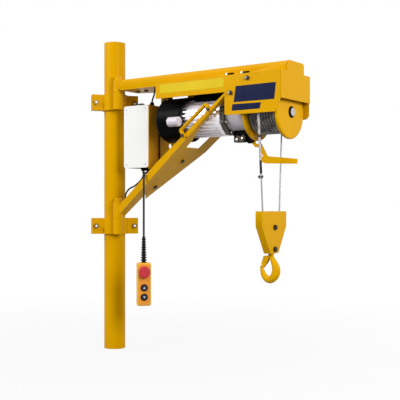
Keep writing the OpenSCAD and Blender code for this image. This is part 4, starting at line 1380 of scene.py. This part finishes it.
@dataclass
class DrumHub:
    """The dark bearing ring round the drum shaft's bright end.

    Attributes:
        profile_mm: Radius and height round the ring's section, from the outer disc's face.
    """

    profile_mm: tuple = ((12.7, -0.5), (18.0, -0.5), (18.0, 2.4), (17.0, 3.3), (13.7, 3.3),
                         (12.7, 2.4))

    def build(self) -> None:
        """Turns the ring on the outer disc's hub."""
        face = (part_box("drum_spool")[1][0], 0.0, middle_height("drum_spool"))
        make_piece("bearing_ring", ring_surface(self.profile_mm, 48, face, (1, 0, 0)),
                   BLACK_PLASTIC, "drum")


@dataclass
class Studio:
    """Camera, floor, world and lamps.

    Attributes:
        place: The camera's place.
        azimuth: Its turn to the left of +Y, in degrees.
        lens, sensor: Its lens and sensor width in millimetres.
        rise: Its upward shift, as a share of the frame.
        ambient: Strength of the even light all round.
        floor_size: Half the floor's width.
        floor_gloss, world_gloss: How much of the white floor and world a reflection sees.
    """

    place: tuple = (2.0032, -2.2713, 0.5)
    azimuth: float = 35.56
    lens: float = 74.84
    sensor: float = 36.0
    rise: float = 0.0234
    ambient: float = 0.52
    floor_size: float = 14.0
    floor_gloss: float = 0.75
    world_gloss: float = 0.6

    def camera(self) -> None:
        """A level camera at the viewing angle."""
        data = bpy.data.cameras.new("camera")
        data.lens, data.sensor_width, data.shift_y = self.lens, self.sensor, self.rise
        data.clip_end = 50
        camera = bpy.data.objects.new("camera", data)
        camera.location = self.place
        camera.rotation_euler = (math.pi / 2, 0, math.radians(self.azimuth))
        bpy.context.scene.collection.objects.link(camera)
        bpy.context.scene.camera = camera

    def seen_share(self, bench: Bench, in_gloss: float) -> Socket:
        """Finds how much of the white backdrop a ray sees.

        Args:
            bench: The tree that the nodes go into.
            in_gloss: The share that a reflection sees.

        Returns:
            1 for the camera and through glass, in_gloss in a reflection, otherwise 0.
        """
        rays = bench.node("LightPath").outputs
        direct = bench.maths("MAXIMUM", rays["Is Camera Ray"], rays["Is Transmission Ray"])
        mirrored = bench.maths("MULTIPLY", rays["Is Glossy Ray"], in_gloss)
        return bench.maths("MAXIMUM", direct, mirrored)

    def backdrop(self) -> bpy.types.Material:
        """Makes the floor white for the camera, in gloss and in glass, and pale for shadows.

        Near the mast the white gives way a little, so that a soft shadow shows.

        Returns:
            The floor's material.
        """
        material = bpy.data.materials.new("studio_floor")
        bench = Bench(material)
        matt = bench.node("BsdfDiffuse", {"Color": linear("#8A8A8A")})
        glow = bench.node("Emission", {"Color": (1, 1, 1, 1), "Strength": 1.0})
        place = bench.node("TexCoord").outputs["Object"]
        away = bench.node("VectorMath", {0: place}, operation="LENGTH").outputs["Value"]
        share = bench.maths("MULTIPLY", self.seen_share(bench, self.floor_gloss),
                            bench.ramp(away, (0.4, 1.8), (0.93, 1.0)))
        mixed = bench.node("MixShader", {0: share, 1: matt.outputs[0], 2: glow.outputs[0]})
        bench.node("OutputMaterial", {"Surface": mixed.outputs[0]})
        return material

    def floor(self) -> None:
        """A wide floor at the mast's foot."""
        corners = [(x * self.floor_size, y * self.floor_size, 0.0)
                   for x, y in ((-1, -1), (1, -1), (1, 1), (-1, 1))]
        mesh = bpy.data.meshes.new("floor")
        mesh.from_pydata(corners, [], [[0, 1, 2, 3]])
        mesh.materials.append(self.backdrop())
        floor = bpy.data.objects.new("floor", mesh)
        bpy.context.scene.collection.objects.link(floor)

    def world(self) -> None:
        """Even light all round, white where it is seen directly or in gloss."""
        world = bpy.data.worlds.new("studio")
        bench = Bench(world)
        seen = self.seen_share(bench, self.world_gloss)
        strength = bench.ramp(seen, (0.0, 1.0), (self.ambient, 1.0))
        light = bench.node("Background", {"Color": (1, 1, 1, 1), "Strength": strength})
        bench.node("OutputWorld", {"Surface": light.outputs[0]})
        bpy.context.scene.world = world

    def lamp(self, name: str, place: tuple, aim: tuple, size: float, watts: float) -> None:
        """Adds a soft square lamp.

        Args:
            name: The lamp's name.
            place: Where it is.
            aim: Where it points.
            size: Length of its side.
            watts: Its power.
        """
        data = bpy.data.lights.new(name, "AREA")
        data.size, data.energy = size, watts
        lamp = bpy.data.objects.new(name, data)
        lamp.location = place
        basis = axis_frame(np.array(place) - np.array(aim))
        lamp.rotation_euler = Matrix(basis.T.tolist()).to_euler()
        bpy.context.scene.collection.objects.link(lamp)

    def build(self) -> None:
        """Builds the studio."""
        self.camera()
        self.floor()
        self.world()
        self.lamp("key", (-1.7, -2.9, 2.5), (0.3, 0.0, 0.7), 1.4, 100)
        self.lamp("side", (3.1, -0.9, 1.6), (0.5, 0.0, 0.7), 1.3, 62)
        bpy.context.scene.view_settings.view_transform = "Standard"


def main() -> None:
    """Builds the studio and every sub-assembly."""
    logging.basicConfig(level=logging.INFO, format="%(message)s")
    for part in (Studio(), Pendant(), Dressing(), Plates(), Welds(), Falls(), RopeEnd(), WoundRope(),
                 Fasteners(), MotorTrim(), DrumHub()):
        part.build()


if __name__ == "__main__":
    main()
